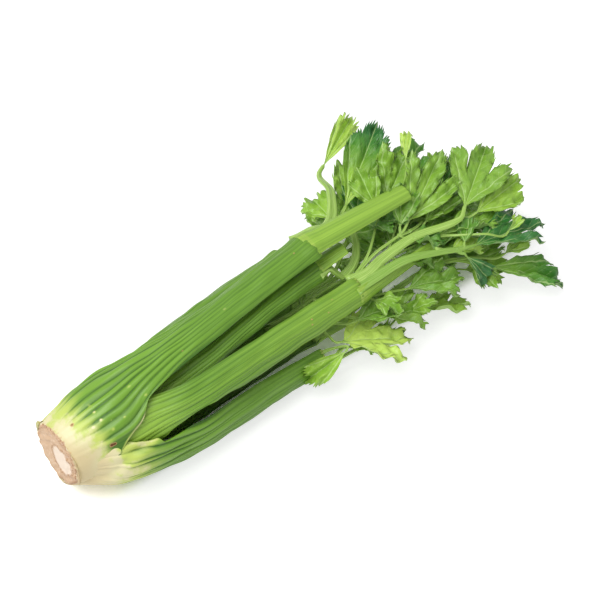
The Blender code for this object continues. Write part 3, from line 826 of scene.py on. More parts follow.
def edges_across(stalk, share, half, along):
    """Places round the back, in halves of its width, for shares from -1 at one edge to 1 at the other.

    They are share * (1 + (reach - 1) * step), where the step is 1 at the edge that is moved.
    """
    across = share * np.ones_like(half)
    sides = [(WRAPPING, MM / half, -0.2, 1), (TUCKED, 1, -0.2, 1), (FLAP, 1, 0.2, -1)]
    for table, scale, still, moved in sides:
        if stalk.name in table:
            reach = smooth_through(*table[stalk.name], along)[:, None] * scale
            across = across * (1 + (reach - 1) * smoothstep(still, moved, share))
    return across


def dip_and_rim(shape, share, far, on_bulb):
    """How far a sheath is sunk where another covers it, less the rise of an edge that wraps over."""
    name = shape.stalk.name
    covered = smooth_through(*COVERED[name], far)[:, None] if name in COVERED else OTHERS_COVERED
    dip = SHEATH_DIP * shape.layer.dip * smoothstep(covered + 0.1, covered - 0.16, share) * on_bulb
    rim = SHEATH_RIM * smoothstep(0.8, 0.97, share) * on_bulb if name in WRAPPING else 0.0
    return dip, rim


widest = max(WRAPPING["outer_stalk_1"][1])
print("the top stalk's sheath reaches up to", widest, "mm round its back")

# %% [markdown]
# ## The knife's cut
#
# The knife went through at a slant, and a little behind the frame's flat cut. The points near the
# cut are pushed along the head, most at its front and not at all 45 mm further on, so that stalks
# and crown keep meeting each other.

# %% Place the cut
CUT_BACK = 4.6 * MM  # how far it is behind the frame's cut, on the axis
CUT_SLANT = 0.11  # and how much further for each mm towards UPPER
UPPER = (-0.55, 0.83)  # the way across and up
PUSHED = (45 * MM, -4 * MM)  # where the push starts, and where it is full


def cut_back(points):
    """The same points with x moved by (CUT_BACK + CUT_SLANT * upper) * step."""
    x, y, z = (points[..., k] for k in range(3))
    upper = UPPER[1] * (z - AXIS_HEIGHT) + UPPER[0] * y
    moved = points.copy()
    moved[..., 0] = x + (CUT_BACK + CUT_SLANT * upper) * smoothstep(*PUSHED, x)
    return moved


lowest_on_cut = np.array([[0.0, 0.0, 15 * MM]])
print("low on the cut it lies at", (cut_back(lowest_on_cut)[0, 0] / MM).round(1), "mm")

# %% [markdown]
# ## What the skin's finish reads
#
# The skin's finish needs to know where it is on the stalk, and what happened there. Each number is
# worked out where the points are: how pale the stalk was kept by its neighbours, how young it is,
# and how bruised. Bruises, and small pale spots that are painted glints, are round spots,
# exp(-d^2), in a list of their own.


# %% Numbers for the skin
BRUISES_AND_GLINTS = {  # mm along, mm round the back, size in mm, and strength: bruises above 0, painted glints below
    "outer_stalk_1": [
        (24, 38.5, 1.7, 1.1), (27.5, 39.5, 1.2, 1.0), (20, 34, 0.8, 0.5), (15, 43, 1.2, 1.0),
        (8, 8, 1.5, 0.8), (29, 5.6, 1.3, -0.5), (28.5, 12, 1.0, -0.8), (29, 19.5, 1.0, -0.9),
        (19.5, 20, 0.7, -0.8), (45, 27.7, 0.9, -0.7), (36, 24.5, 0.8, -0.6), (33, 30, 1.0, -0.4),
        (60, 12, 1.2, -0.5), (66, 24, 1.1, -0.6), (150, 6, 1.4, -0.6), (220, 5, 0.8, 0.7),
        (106, 12, 1.6, 0.45),
    ],
    "outer_stalk_2": [(7.5, -20, 1.2, 0.6), (60, -2, 1.0, 0.4)],
    "second_stalk_1": [
        (205.6, -2, 0.8, 0.8), (220, 0.6, 1.0, 0.6), (203, 1.3, 1.1, 0.6), (228, -6, 0.7, 0.6),
        (160, 6, 1.6, -0.4), (166, 7, 1.2, -0.4),
    ],
}
MOST_PALE = 1.6


def paleness(shape, far, share, seed):
    """The palest of four places: the bulb, its thin margins, the flap, and the joint's rough end."""
    stalk = shape.stalk
    tanned = 0.5 * (smoothstep(0.1, 0.8, share) if stalk.name in WRAPPING else stalk.name in FLAP)
    greened = smoothstep(-4, stalk.pale_to, far + shape.layer.start)
    blanched = (1.1 + tanned) * (1 - greened) ** 2
    margin = 0.95 * smoothstep(0.93, 0.99, abs(share)) * (1 - smoothstep(56, 64, far))
    flap = 0.9 * smoothstep(-0.6, -0.95, share) * (1 - smoothstep(46, 66, far)) * (stalk.name in FLAP)
    ragged = 1.3 * unevenness(share[..., None] * 10, 2.0, seed + 80)
    joint = 0.7 * smoothstep(-1.7, -0.9, far - shape.reach + 0.7 * ragged)
    return np.maximum.reduce(np.broadcast_arrays(blanched, margin, flap, joint))


def youth(shape, far, share):
    """How light the green is: the stalk's own lightness, and more of it towards the bulb."""
    stalk = shape.stalk
    young = smooth_through([60, shape.reach], stalk.fresh, np.clip(far, 60, None)) + 0 * share
    at_bulb = 0.25 if shape.layer.dip else 0.45
    return young + at_bulb * (1 - smoothstep(45, 110, far))


def stalk_numbers(shape, along, share, across, half, rib, rib_height, seed):
    """What the skin's finish reads: where on the stalk, how high on a rib, and how pale or marked."""
    far = along[:, None]
    pale = paleness(shape, far, share, seed)
    ragged = 0.9 * unevenness(share[..., None] * 10, 0.8, seed + 90)
    marked = 0.42 * (1 - smoothstep(-3.4, -2.4, far + 0.6 * ragged)) * np.ones_like(share)
    for place, round_back, size, strength in BRUISES_AND_GLINTS.get(shape.stalk.name, []):
        off_along, off_across = (far - place) / (1.5 * size), (across * half - round_back) / size
        spot = np.exp(-(off_along**2) - off_across**2)
        marked = marked + max(strength, 0) * spot
        # a strength below 0 paints a glint: a pale spot that stands in for a highlight
        pale = pale + max(-strength, 0) * spot
    height = 0.5 + (rib - 0.5) * np.clip(rib_height / (1.2 * MM), 0.12, 1.0)
    pale, young, marked, height = (
        closed(v, v) for v in (np.clip(pale, 0, MOST_PALE), youth(shape, far, share), marked, height)
    )
    place_across = np.concatenate([across, -across], axis=1)
    return {"lay": [far, place_across, height], "tone": [pale, young, marked]}


# counts the bruises and the painted glints
print(sum(len(spots) for spots in BRUISES_AND_GLINTS.values()), "bruises and painted_glints")

# %% [markdown]
# ## Build the stalks
#
# Now each stalk is lofted. The stations are close together on the bulb, where the shape changes
# fast, and further apart past it. An outer stalk's front end gets a few more, for its rounded edge
# at the cut. At the joint the stalk swells a little and is then rounded off.


# %% Loft the stalks
FRONT = [-3.8, -3.6, -3.2, -2.6, -1.8, -0.9]  # mm: an outer stalk's stations before the frame's cut
FRONT_ROUND = 0.32 * MM  # how far the skin draws in at 1 mm before that cut
FLAT_CUT = 16  # mm along, up to which the sections stand square to the cut
BULB_END = (70, 100)  # mm along, over which sheaths stop overlapping
JOINT_SWELL = 0.9 * MM


def stations(layer, reach):
    """Places along a stalk, in mm, and how many of them lie before the frame's cut."""
    apart = 0.9 if layer.dip else 2.0
    bulb = np.arange(0, min(110, reach * 0.6), apart)
    past_bulb = np.linspace(bulb[-1] + apart, reach, int((reach - bulb[-1]) / 1.6))
    front = FRONT if layer.dip else []
    return np.concatenate([front, bulb, past_bulb]), len(front)


def build_stalk(stalk, seed):
    """Backs and channels at every station, with ribs, unevenness, and a swollen joint as lift.

    The lift is rib height * (rib - 0.45) + swell + waves + rim - dip.
    """
    shape = StalkShape(stalk)
    layer, reach = shape.layer, shape.reach
    far, before_cut = stations(layer, reach)
    along = np.maximum(far, 0)
    before = (far - along) * MM
    line, _, normal, side = (
        np.concatenate([v[:1].repeat(before_cut, axis=0), v]) for v in shape.at(far[before_cut:])
    )
    line[:, 0] += before
    bend, half, thick = (shape.size(v, along)[:, None] for v in (layer.bend, layer.half, layer.thick))
    broader = 1 + (stalk.broad - 1) * smoothstep(0.6 * reach, 0.97 * reach, along)[:, None]
    slimmer = 1 - (1 - stalk.slim) * smoothstep(38, 80, along)[:, None]
    bend, half = bend * broader, half * broader * slimmer
    rib_height = shape.size(layer.rib_height, along)[:, None]
    share = np.linspace(-1, 1, 12 * layer.ribs + 1)[None]
    across = edges_across(stalk, share, half, far)
    rib = ribs_across(across, layer.ribs, seed)
    dip, rim = dip_and_rim(shape, share, far, 1 - smoothstep(*BULB_END, along)[:, None])
    end = (along - reach)[:, None]
    swell = JOINT_SWELL * smoothstep(-16, -5, end) - 2 * JOINT_SWELL * smoothstep(-3.5, 0, end)
    swell = swell - FRONT_ROUND * (-before[:, None] / MM) ** 1.5
    skin_place = np.stack(np.broadcast_arrays(far[:, None] * 0.35, across * half * 1000), axis=-1)
    wavy = 0.3 * MM * unevenness(skin_place, 11.0, seed + 50) * smoothstep(0, 30, along)[:, None]
    lift = rib_height * (rib - 0.45) + swell + wavy + rim - dip
    section = (line, normal, side, bend, half, thick, share, across)
    outer = crescent(*section, 0.0, lift)
    inner = crescent(*section, 1.0, np.clip(-swell, 0, None) + rim - dip)
    rings = closed(outer, inner)
    square = 1 - smoothstep(0, FLAT_CUT, far)[:, None]
    rings[..., 0] += square * (line[:, :1] - rings[..., 0])
    numbers = stalk_numbers(shape, far, share, across, half / MM, rib, rib_height, seed)
    name = stalk.name + "_skin"
    return shape, make_piece(name, cut_back(rings), numbers, skin_material, stalk.name)


shapes = {}
for number, stalk in enumerate(STALKS):
    shapes[stalk.name], piece = build_stalk(stalk, number)
    print(piece.name, len(piece.data.polygons), "faces")

# %% [markdown]
# ## The trimmed tops
#
# Past the joint the middle of a stalk goes on as a thinner stem. On three stalks it was trimmed, so
# it ends in a clean cut across. It is the same crescent on a straight line, started inside the
# stalk's end so that no gap shows, with two loops close together at the cut to keep its
# edge crisp.


# %% Shape the trimmed tops
TOP_SPREAD = (1.36, 1.16)  # how much wider than the frame's solid a top is, at its joint and its end
TOP_RIBS = 6
TOP_SUNK = 6 * MM  # how far it starts inside the stalk
TOP_STATION = 1.5 * MM
EDGE_STATION = 0.4 * MM  # between the last two loops


def joint_place(shape, angle, leaning=True):
    """A place in the end of a stalk at its joint, so far round its crescent, with the way out and on."""
    ends = np.array([0, shape.keys[-1]])
    line, tangent, normal, side = (v[-1] for v in shape.at(ends, leaning))
    bend, thick = (shape.size(v, ends)[-1] for v in (shape.layer.bend, shape.layer.thick))
    outward = side * math.sin(angle) + normal * math.cos(angle)
    return line - normal * bend + outward * bend, tangent, outward, thick


def build_top(top, seed):
    """The stalk's crescent on a straight line, with fewer and lower ribs."""
    start, _, normal, _ = joint_place(shapes[top.stalk], top.turn)
    reach = np.array(top.end) * MM - start
    length = float(np.linalg.norm(reach))
    heading = reach / length
    stem = np.arange(-TOP_SUNK, length, TOP_STATION)
    along = np.concatenate([stem, [length - EDGE_STATION, length]])
    line = start + heading * along[:, None]
    normal = np.broadcast_to(unit(normal - (normal @ heading) * heading), line.shape)
    side = np.cross(heading, normal)
    bend, half, thick, spread = (
        np.interp(along, [0, length], pair)[:, None]
        for pair in (top.bend, top.half, top.thick, TOP_SPREAD)
    )
    bend, half, thick = bend * MM * spread, half * MM * spread, thick * MM
    across = np.linspace(-1, 1, 81)[None]
    rib = ribs_across(across, TOP_RIBS, seed)
    inset = 0.5 * MM * smoothstep(-0.5 * MM, 0, (along - length)[:, None])
    base = 0.7 * MM * smoothstep(9 * MM, 3 * MM, along)[:, None]
    section = (line, normal, side, bend, half, thick, across, across)
    outer = crescent(*section, 0.0, 0.35 * MM * (rib - 0.4) - inset + base)
    inner = crescent(*section, 1.0, inset)
    place = np.concatenate([across, -across], axis=1)
    at_joint = smoothstep(2.5 * MM, 0, along)
    at_end = smoothstep(length - 0.5 * MM, length, along)
    pale = 0.4 * np.maximum(at_joint, at_end)[:, None]
    numbers = {
        "lay": [1000 * along[:, None], place, 0.35 + 0.3 * closed(rib, rib)],
        "tone": [pale, 0.55 + 0 * place, 0 * place],
    }
    name = top.name + "_skin"
    return make_piece(name, closed(outer, inner), numbers, skin_material, top.name)


for number, top in enumerate(TOPS):
    piece = build_top(top, 40 + number)
    print(piece.name, len(piece.data.polygons), "faces")

# %% [markdown]
# ## The crown
#
# From the front the crown is a rough disc. It is a grid of rings round the axis: flat and slightly
# hollow in the pith, lumpy in the woody ring, and rounded off at the edge, where it was torn more
# than cut. Behind the edge it narrows to a plug between the stalks, which nobody sees but which
# closes the shape.


# %% Shape the crown
CROWN_TURNS = 240
RIM = 24.8  # mm
PITH_AT = (-7.0, 0.5)  # mm from the axis to the middle of the pith, across and up
PLUG_FROM = 9.0  # mm behind the cut face, where the crown stops being lumpy
CROWN_PROFILE = [  # (share of the rim's radius, mm behind the cut face)
    *[(r, 0.0) for r in np.linspace(0.02, 0.82, 41)],
    (0.86, 0.0), (0.9, 0.1), (0.93, 0.3), (0.96, 0.7), (0.98, 1.2), (1.0, 2.2), (0.99, 7.4),
    (0.9, 9.2), (0.7, 10.8), (0.54, 11.4), (0.54, 21.0), (0.37, 21.6), (0.37, 29.0),
    (0.14, 30.0), (0.10, 38.0), (0.02, 39.2),
]


def build_crown():
    """Rings of the profile round the axis: r = RIM * share + tear, x = behind - lumps - rise."""
    share, behind = (column[:, None] for column in np.array(CROWN_PROFILE).T)
    turned = np.linspace(0, 2 * math.pi, CROWN_TURNS, endpoint=False)
    across, up = np.cos(turned), np.sin(turned)
    on_face = smoothstep(PLUG_FROM, 5.0, behind)
    woody = smoothstep(0.38, 0.55, share)
    flat_place = np.stack([share * across, share * up], axis=-1) * RIM
    lumps = unevenness(flat_place, 8.0, 3) * 0.25 + unevenness(flat_place, 2.5, 4) * 0.05
    tear = unevenness(np.stack([across, up], axis=-1) * RIM, 11.0, 5)
    edge = smoothstep(0.78, 0.95, share) * on_face
    radius = RIM * share + edge * tear * 0.3
    rise = on_face * (lumps * (0.25 + woody) + 0.5 * woody + 0.15 * edge * tear)
    x = -CROWN_REACH / MM + behind - rise
    rings = np.stack([x, -radius * across, radius * up], axis=-1) * MM
    rings[..., 2] += AXIS_HEIGHT
    from_pith = np.hypot(radius * across + PITH_AT[0], radius * up - PITH_AT[1])
    numbers = {"lay": [from_pith, RIM * share + 0 * x, edge + 0 * turned]}
    return make_piece("crown_cut", cut_back(rings), numbers, cut_material, "crown")


piece = build_crown()
print(piece.name, len(piece.data.polygons), "faces")

# %% [markdown]
# ## Stems and blades
#
# A leaf's stem is a curve from the joint through a few places to the foot of its blade, and the
# blade is a fan that is bent down on a circle. The frame's leaf is the same thing in few faces. One
# class holds both, so that the fine leaf lies where the plain one does.


# %% Stems and blades
class LeafShape:
    """The stem's line and the blade's frame of one leaf.

    The stem runs through its knots. The blade lies along, to the side and up from its base.
    """

    def __init__(self, leaf, start, heading):
        self.leaf = leaf
        base, tip = np.array(leaf.base) * MM, np.array(leaf.tip) * MM
        self.base, self.length = base, float(np.linalg.norm(tip - base))
        along = (tip - base) / self.length
        way = [start, *(np.array(place) * MM for place in leaf.via), base]
        first, last = np.linalg.norm(way[1] - way[0]), np.linalg.norm(way[-1] - way[-2])
        self.follow([start, start + heading * first * 0.25, *way[1:-1], base - along * last * 0.2, base])
        level = unit(np.cross([0.0, 0.0, 1.0], along))
        raised = np.cross(along, level)
        roll = math.radians(leaf.roll)
        self.side = level * math.cos(roll) + raised * math.sin(roll)
        up = np.cross(along, self.side)
        chord = math.radians(leaf.curl) / 2
        self.along = along * math.cos(chord) + up * math.sin(chord)
        self.up = up * math.cos(chord) - along * math.sin(chord)

    def follow(self, knots):
        """Lays the stem through the knots, and marks how far along it each of them is."""
        self.knots = np.array(knots)
        self.marks = np.append(0, np.cumsum(np.linalg.norm(np.diff(self.knots, axis=0), axis=1)))

    def turn_blade(self, turn, swing):
        """Turns the blade on its midrib, and then sideways, by so many degrees."""
        turn, swing = math.radians(turn), math.radians(swing)
        side, up, along = self.side, self.up, self.along
        self.side = side * math.cos(turn) + up * math.sin(turn)
        self.up = up * math.cos(turn) - side * math.sin(turn)
        self.along = along * math.cos(swing) + self.side * math.sin(swing)
        self.side = self.side * math.cos(swing) - along * math.sin(swing)

    def move_blade(self, shift):
        """Moves the blade, and the end of the stem with it, by so many mm."""
        self.base = self.base + np.array(shift) * MM
        self.knots[-2:] += np.array(shift) * MM

    def root_in_parent(self):
        """Leans the stem's start as its stalk was leant, and carries it back into the parent."""
        parent = shapes[self.leaf.parent]
        if isinstance(parent, StalkShape):
            leant = np.array([0, *parent.stalk.lean]) * MM
            self.rooted = self.rooted + leant
            self.knots[1] += leant
        self.marks[1:] += np.linalg.norm(self.knots[0] - self.rooted)
        self.knots[0] = self.rooted

    def stem_radius(self, share):
        first = self.leaf.stem / 2 * MM
        last = min(0.5 * first, 1.5 * MM)
        return first + (last - first) * np.asarray(share) ** 0.8

    def stem_line(self, share):
        marks = np.atleast_1d(share) * self.marks[-1]
        return np.stack([smooth_through(self.marks, self.knots[:, k], marks) for k in range(3)], axis=1)

    def stem_heading(self, share):
        near = np.clip(np.array([share - 0.02, share + 0.02]), 0, 1)
        return unit(np.diff(self.stem_line(near), axis=0)[0])

    def stem_sides(self, share):
        """The side vector at each place, turned as little as can be from the one after it."""
        tangent = np.array([self.stem_heading(s) for s in share])
        side = np.empty_like(tangent)
        last = self.side
        for k in reversed(range(len(share))):
            last = side[k] = unit(last - (last @ tangent[k]) * tangent[k])
        return side, np.cross(tangent, side)

    def bent(self, x, y, z):
        """Places in the head from places on the flat blade, which is bent down on a circle."""
        bend = math.radians(self.leaf.curl) / self.length
        sine, cosine = np.sin(bend * x), np.cos(bend * x)
        blade = np.stack([(1 / bend + z) * sine, y, (1 / bend + z) * cosine - 1 / bend], axis=-1)
        return self.base + blade @ np.stack([self.along, self.side, self.up])

    def plain_rings(self):
        """The leaf in as few faces as the frame's: four loops of the stem, and three of the blade.

        The blade's margin is (1 - 0.42 |s|^1.6) (0.66 + 0.34 |cos(1.5 pi s)|^0.7), s being -1 to 1.
        """
        across = np.linspace(-1, 1, 9)
        share = np.linspace(0, 1, 5)[:-1]
        line = self.stem_line(share)
        side, up = self.stem_sides(share)
        radius = self.stem_radius(share)[:, None, None]
        turn = math.pi / 2 * across
        sideways = np.concatenate([np.sin(turn), np.sin(turn[::-1])])[:, None]
        upwards = np.concatenate([np.cos(turn) + 0.02, -np.cos(turn[::-1]) - 0.02])[:, None]
        stem = line[:, None] + radius * (sideways * side[:, None] + upwards * up[:, None])
        u = 0.08 + 0.92 * np.array([[1], [2], [3]]) / 3
        lobes = 0.66 + 0.34 * abs(np.cos(1.5 * math.pi * across)) ** 0.7
        outline = (1 - 0.42 * abs(across) ** 1.6) * lobes
        angle = across * math.radians(self.leaf.breadth)
        r = self.length * u * outline
        x, y = r * np.cos(angle), r * np.sin(angle)
        z = self.leaf.fold * abs(y) - 0.05 * self.length * u**2 * np.cos(3 * math.pi * across)
        lift = self.up * LEAF_THICKNESS / 2
        middle = self.bent(x, y, z)
        return np.concatenate([stem, closed(middle + lift, middle - lift)])


sample = LeafShape(LEAVES[0], np.zeros(3), np.array([1.0, 0.0, 0.0]))
print(LEAVES[0].name, "has a blade of", round(sample.length / MM), "mm")

# %% [markdown]
# ## Where each leaf ended up
#
# The box of a plain leaf can be worked out for each try and compared with the frame's box of that
# leaf. The first that agrees is the one, and it comes with the place in its parent that its stem
# can be carried back to, so that no gap shows.


# %% Find the leaves
def leaf_start(leaf):
    """Where a leaf's stem starts, its first heading, and how far back it can be carried unseen."""
    shape = shapes[leaf.parent]
    if isinstance(shape, StalkShape):
        back, tangent, outward, thick = joint_place(shape, leaf.leaves, leaning=False)
        start = back - outward * thick / 2 + tangent * JOINT_GAP
        return start, tangent, start - tangent * 7 * MM
    share = min(leaf.leaves, LAST_SHARE)
    start = shape.stem_line(share)[0]
    heading = shape.stem_heading(share)
    away = np.array(leaf.base) * MM - start
    away = unit(away - (away @ heading) * heading)
    apart = shape.stem_radius(share) + leaf.stem / 2 * MM + 2 * CLEARANCE
    return start + away * apart, heading, start - heading * 2 * MM


def places_for(leaf, number):
    """The leaf as drawn, then moved further and further along GIVE and turned more."""
    yield leaf
    draw = np.random.default_rng(number)
    for k in range(1, TRIES + 1):
        share = k / TRIES
        give, shift = draw.uniform(-1, 1, (2, 1)), draw.uniform(-1, 1, (2, 3))
        base, tip = (give * MOST_GIVE * GIVE + shift * MOST_SHIFT) * share
        turn, around = draw.uniform(-1, 1, 2) * share
        yield leaf._replace(
            leaves=leaf.leaves + around * MOST_ROUND,
            base=tuple(leaf.base + base),
            tip=tuple(leaf.tip + tip),
            roll=leaf.roll + turn * MOST_TURN,
        )


FITS = 0.02 * MM


def find_leaf(leaf, number):
    """The first try whose plain rings fill the frame's box of this leaf, and how many came before."""
    wanted = np.array([list(corner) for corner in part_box(leaf.name)]) - ORIGIN
    for tried, moved in enumerate(places_for(leaf, number)):
        start, heading, rooted = leaf_start(moved)
        shape = LeafShape(moved, start, heading)
        points = shape.plain_rings().reshape(-1, 3)
        if abs(np.array([points.min(axis=0), points.max(axis=0)]) - wanted).max() < FITS:
            shape.rooted = rooted
            return shape, tried
    raise ValueError(f"no try fills the box of {leaf.name}")


for number, leaf in enumerate(LEAVES):
    shapes[leaf.name], tried = find_leaf(leaf, number)
    print(leaf.name, "was kept at try", tried, end="; ")
print()

# %% [markdown]
# ## How each leaf looks
#
# No two leaves of a head are alike. The young ones from the heart are yellow-green and hardly
# toothed, and the old ones outside are dark and deeply cut. A table gives each leaf its looks, and
# where the frame's plain blade isn't quite how it should lie, it is turned or moved a little.


# %% The leaves' looks
class Look(NamedTuple):
    age: float = 0.5  # 0 is a pale young leaf, 1 a deep blue-green one
    ageing: float = 0.0  # how much older it looks at its margin
    teeth: int = 3  # on each side of a lobe
    cleft: float = 0.42  # how deep the blade is cut between its lobes
    wide: float = 1.1  # the stem's width and height, in terms of its thickness
    high: float = 0.9
    wavy: float = 1.0
    grow: float = 1.12  # the blade's length and breadth, in terms of the frame's leaf
    fan: float = 1.25
    turn: float = 0.0  # how far the blade is turned on its midrib, in degrees
    swing: float = 0.0  # how far it is swung sideways
    via: tuple = ()  # places that its stem passes, if they aren't the frame's
    shift: tuple = (0, 0, 0)  # mm that its blade is moved


LOOKS = {
    "leaf_01": Look(0.4, 0.1, 4, 0.42, 1.7, 0.8, grow=1.06, fan=1.1),
    "leaf_02": Look(0.4, 0.1, 3, 0.3, 1.6),
    "leaf_03": Look(0.85, 0.2, 3, 0.62, 2.1, 0.7, grow=1.0, fan=1.3, turn=20,
                    via=((296, -25, 69), (325, -33, 66))),
    "leaf_04": Look(0.95, 0.1, 3, 0.2, grow=1.25, fan=0.95, turn=55, shift=(-4, 0, 0)),
    "leaf_05": Look(0.1, 0.05, 2, 0.14, 2.0, 1.1, 0.6, grow=1.0, fan=0.85,
                    via=((265, 32, 76), (295, 66, 70))),
    "leaf_06": Look(0.2, 0.2, 2, 0.2, grow=0.78, fan=1.35, shift=(6, 0, -8)),
    "leaf_07": Look(0.12, 1.05, 5, 0.1, 1.7, 0.9, 0.8, grow=0.95, fan=0.8, swing=2, shift=(-6, 4, 0)),
    "leaf_08": Look(0.35, 0.15, 4, 0.52, grow=1.05),
    "leaf_09": Look(0.45, 0.5, 3, 0.25, 1.3, grow=0.9, fan=1.1),
    "leaf_10": Look(-0.2, 0.1, 3, 0.5, grow=1.05, fan=1.2, shift=(-6, -1, 0)),
    "leaf_11": Look(0.6, 0.15, 4, 0.55),
    "leaf_12": Look(0.3, 0.1),
    "leaf_13": Look(0.3, 0.1, wavy=1.6, fan=1.5),
    "leaf_14": Look(0.38, 0.1, wavy=1.6, fan=1.5),
    "leaf_15": Look(0.02, 0.0, 1, 0.1, grow=0.8),
    "leaf_16": Look(0.45, 0.1, 4, 0.58),
    "leaf_17": Look(0.7, 0.1, fan=1.1),
    "leaf_18": Look(0.25, 0.1, 3, 0.2, grow=1.15, fan=1.1),
    "leaf_19": Look(0.22, 0.0, 2, 0.3),
    "leaf_20": Look(0.2, 0.0, 1, 0.2, grow=1.0),
    "leaf_22": Look(0.35, 0.1),
    "leaf_24": Look(0.25, 0.1, 3, 0.15, grow=1.05, fan=1.7, swing=-30),
    "leaf_25": Look(0.2, 0.1, grow=0.7, shift=(0, 12, 8)),
    "leaf_26": Look(0.2, 0.1, grow=0.9),
    "leaf_27": Look(0.2, 0.1),
    "leaf_28": Look(0.3, 0.1, 3, 0.25, wavy=1.6),
    "leaf_29": Look(0.3, 0.0, 2, 0.2, fan=1.6),
    "leaf_34": Look(0.35, 0.1),
    "leaf_36": Look(0.45, 0.1),
}


print(len(LOOKS), "leaves with looks of their own")

# %% [markdown]
# ## Blades
#
# A celery leaflet is a fan of three lobes with saw teeth that point to each lobe's tip. The mesh
# follows that margin: its lines run from the foot of the blade to the points and notches of the
# teeth, so a tooth needs only five of them. Along each lobe the main vein is a groove above and a
# rib below, the blade swells up between the side veins, and the margin is wavy.


# %% Shape a blade
LOBES = 3
TOOTH = np.array([0.03, 0.3, 0.6, 0.85, 0.985])  # the places of its five lines, from notch to tip
SHEET = 0.25 * MM  # half of a blade's thickness
SIDE_VEINS = 9.0  # on each side of a lobe's main vein
SLANT = 2.4  # how many side veins one crosses on the way out to a cleft


def toothed_margin(look, draw):
    """Places s across a blade, from -1 to 1, the place t in their lobe, and how far out the margin is.

    t is 0 at a lobe's tip and -1 or 1 at the clefts beside it. The margin is the envelope
    1 - 0.42 |s|^1.6, times the lobe's rise from its clefts. The teeth are given apart from it,
    because they only push out the outermost part of the blade.
    """
    steps = ((np.arange(look.teeth)[:, None] + TOOTH) / look.teeth).ravel()
    t = np.concatenate([steps - 1, 1 - steps[::-1]])
    s = np.concatenate([(t + 2 * lobe) / LOBES for lobe in (-1, 0, 1)])
    saw = np.tile(TOOTH, look.teeth)
    saw = np.tile(np.concatenate([saw, saw[::-1]]), LOBES)
    size = np.repeat(draw.uniform(0.6, 1.3, 2 * LOBES * look.teeth), len(TOOTH))
    t = np.tile(t, LOBES)
    lobe = 0.75 * np.cos(math.pi / 2 * t) ** 0.45 + 0.25 * (1 - abs(t))
    outline = (1 - 0.42 * abs(s) ** 1.6) * (1 - look.cleft + look.cleft * lobe)
    return s, t, outline, 0.34 / (look.teeth + 1.5) * size * (saw - 0.35)


def blade_rings(shape, look, draw, margin, rows):
    """Upper and lower sheets of a blade, and the numbers that its finish reads.

    The fan's lines start close together at the foot and spread. z is the fold beside the midrib,
    plus each lobe's trough, the swelling between side veins, and waves that grow to the margin.
    """
    s, t, outline, teeth = margin
    length = shape.length * look.grow
    breadth = math.radians(shape.leaf.breadth) * look.fan
    u = np.linspace(0.05, 1, rows)[:, None] ** 0.9
    spread = 0.55 + 0.45 * smoothstep(0.0, 0.5, u)
    angle = s * breadth * spread
    r = length * (u * outline + teeth * u**5)
    x, y = r * np.cos(angle), r * np.sin(angle)
    out = r / length
    main = abs(t) * r * breadth / LOBES * 1000
    side = out * SIDE_VEINS - abs(t) * out * SLANT
    swelling = 1 - (2 * (side % 1) - 1) ** 2
    flat_place = np.stack([x, y], axis=-1) * 1000
    waves = unevenness(flat_place, 12.0, int(draw.integers(1000)))
    crinkle = unevenness(flat_place, 6.0, int(draw.integers(1000)))
    lobes = np.repeat(draw.uniform(-0.09, 0.09, LOBES), len(s) // LOBES)
    z = (
        shape.leaf.fold * abs(y)
        - 0.05 * length * out**2 * np.cos(math.pi * t)
        + lobes * length * out**2 * np.cos(math.pi / 2 * t)
        + 0.6 * MM * swelling * smoothstep(0.4, 2.5, main) * smoothstep(0.1, 0.4, u)
        + 1.8 * MM * look.wavy * waves * u**1.5
        + 0.5 * MM * look.wavy * crinkle * u
    )
    vein = np.exp(-((main / (0.9 - 0.4 * u)) ** 2)) * (1.1 - 0.8 * u)
    upper = shape.bent(x, y, z + SHEET * (1 - vein))
    lower = shape.bent(x, y, z - SHEET - 0.8 * MM * vein)
    veins = [closed(v, v) for v in np.broadcast_arrays(main, side, u * 10)]
    age = look.age + look.ageing * closed(out, out) ** 1.5
    stem_part = np.broadcast_to(smoothstep(0.16, 0.05, u), main.shape)
    under = closed(0 * main, 1 + 0 * main)
    return closed(upper, lower), veins, [age, closed(stem_part, stem_part), under]


sample = toothed_margin(Look(), np.random.default_rng(0))
print("a margin with", Look().teeth, "teeth to half a lobe has", len(sample[0]), "lines")

# %% [markdown]
# ## Stems
#
# A leaf's stem is an oval with a groove above and a few strings, and it widens where it leaves the
# stalk. Its loops have as many points as the blade's, at the same shares across, so stem and blade
# are one loft. A leaf that would sink into the table is squeezed just above it at the end.


# %% Shape a stem, and build the leaves
STRINGS = 9
STRING_HEIGHT = 0.035  # share of the radius
GROOVE_DEPTH = 0.35
THINNEST = 0.8 * MM
FLARE, FLARE_LENGTH = 0.45, 9 * MM
TABLE_ROOM = 2 * MM  # heights under this are squeezed


def stem_rings(shape, look, around, station):
    """Loops round the stem: radius * (wide sin a, high cos a), times the strings' and groove's waves."""
    length = shape.marks[-1]
    share = np.linspace(0, 1, max(8, int(length / station)) + 1)
    line = shape.stem_line(share)
    side, up = shape.stem_sides(share)
    flare = 1 + FLARE * np.exp(-share * length / FLARE_LENGTH)
    radius = (np.maximum(shape.stem_radius(share), THINNEST) * flare)[:, None]
    turn = np.concatenate([math.pi / 2 * around, math.pi - math.pi / 2 * around[::-1]])
    oval = smoothstep(1.0, 0.8, share)[:, None]
    wide = 1.1 + (look.wide - 1.1) * oval
    high = 0.8 + (look.high - 0.8) * oval
    strings = 1 + STRING_HEIGHT * np.cos(STRINGS * turn) * oval
    groove = 1 - GROOVE_DEPTH * np.exp(-((turn / 0.5) ** 2)) * oval
    sideways = radius * wide * strings * np.sin(turn)
    upwards = radius * high * strings * groove * np.cos(turn)
    rings = line[:, None] + sideways[..., None] * side[:, None] + upwards[..., None] * up[:, None]
    main = radius * 1000 * turn
    ends = (share * length * 1000)[:, None] * 0.02 + 0 * turn
    zero = np.zeros_like(ends)
    return rings, [main, zero, ends], [zero + look.age, zero + 1, zero]


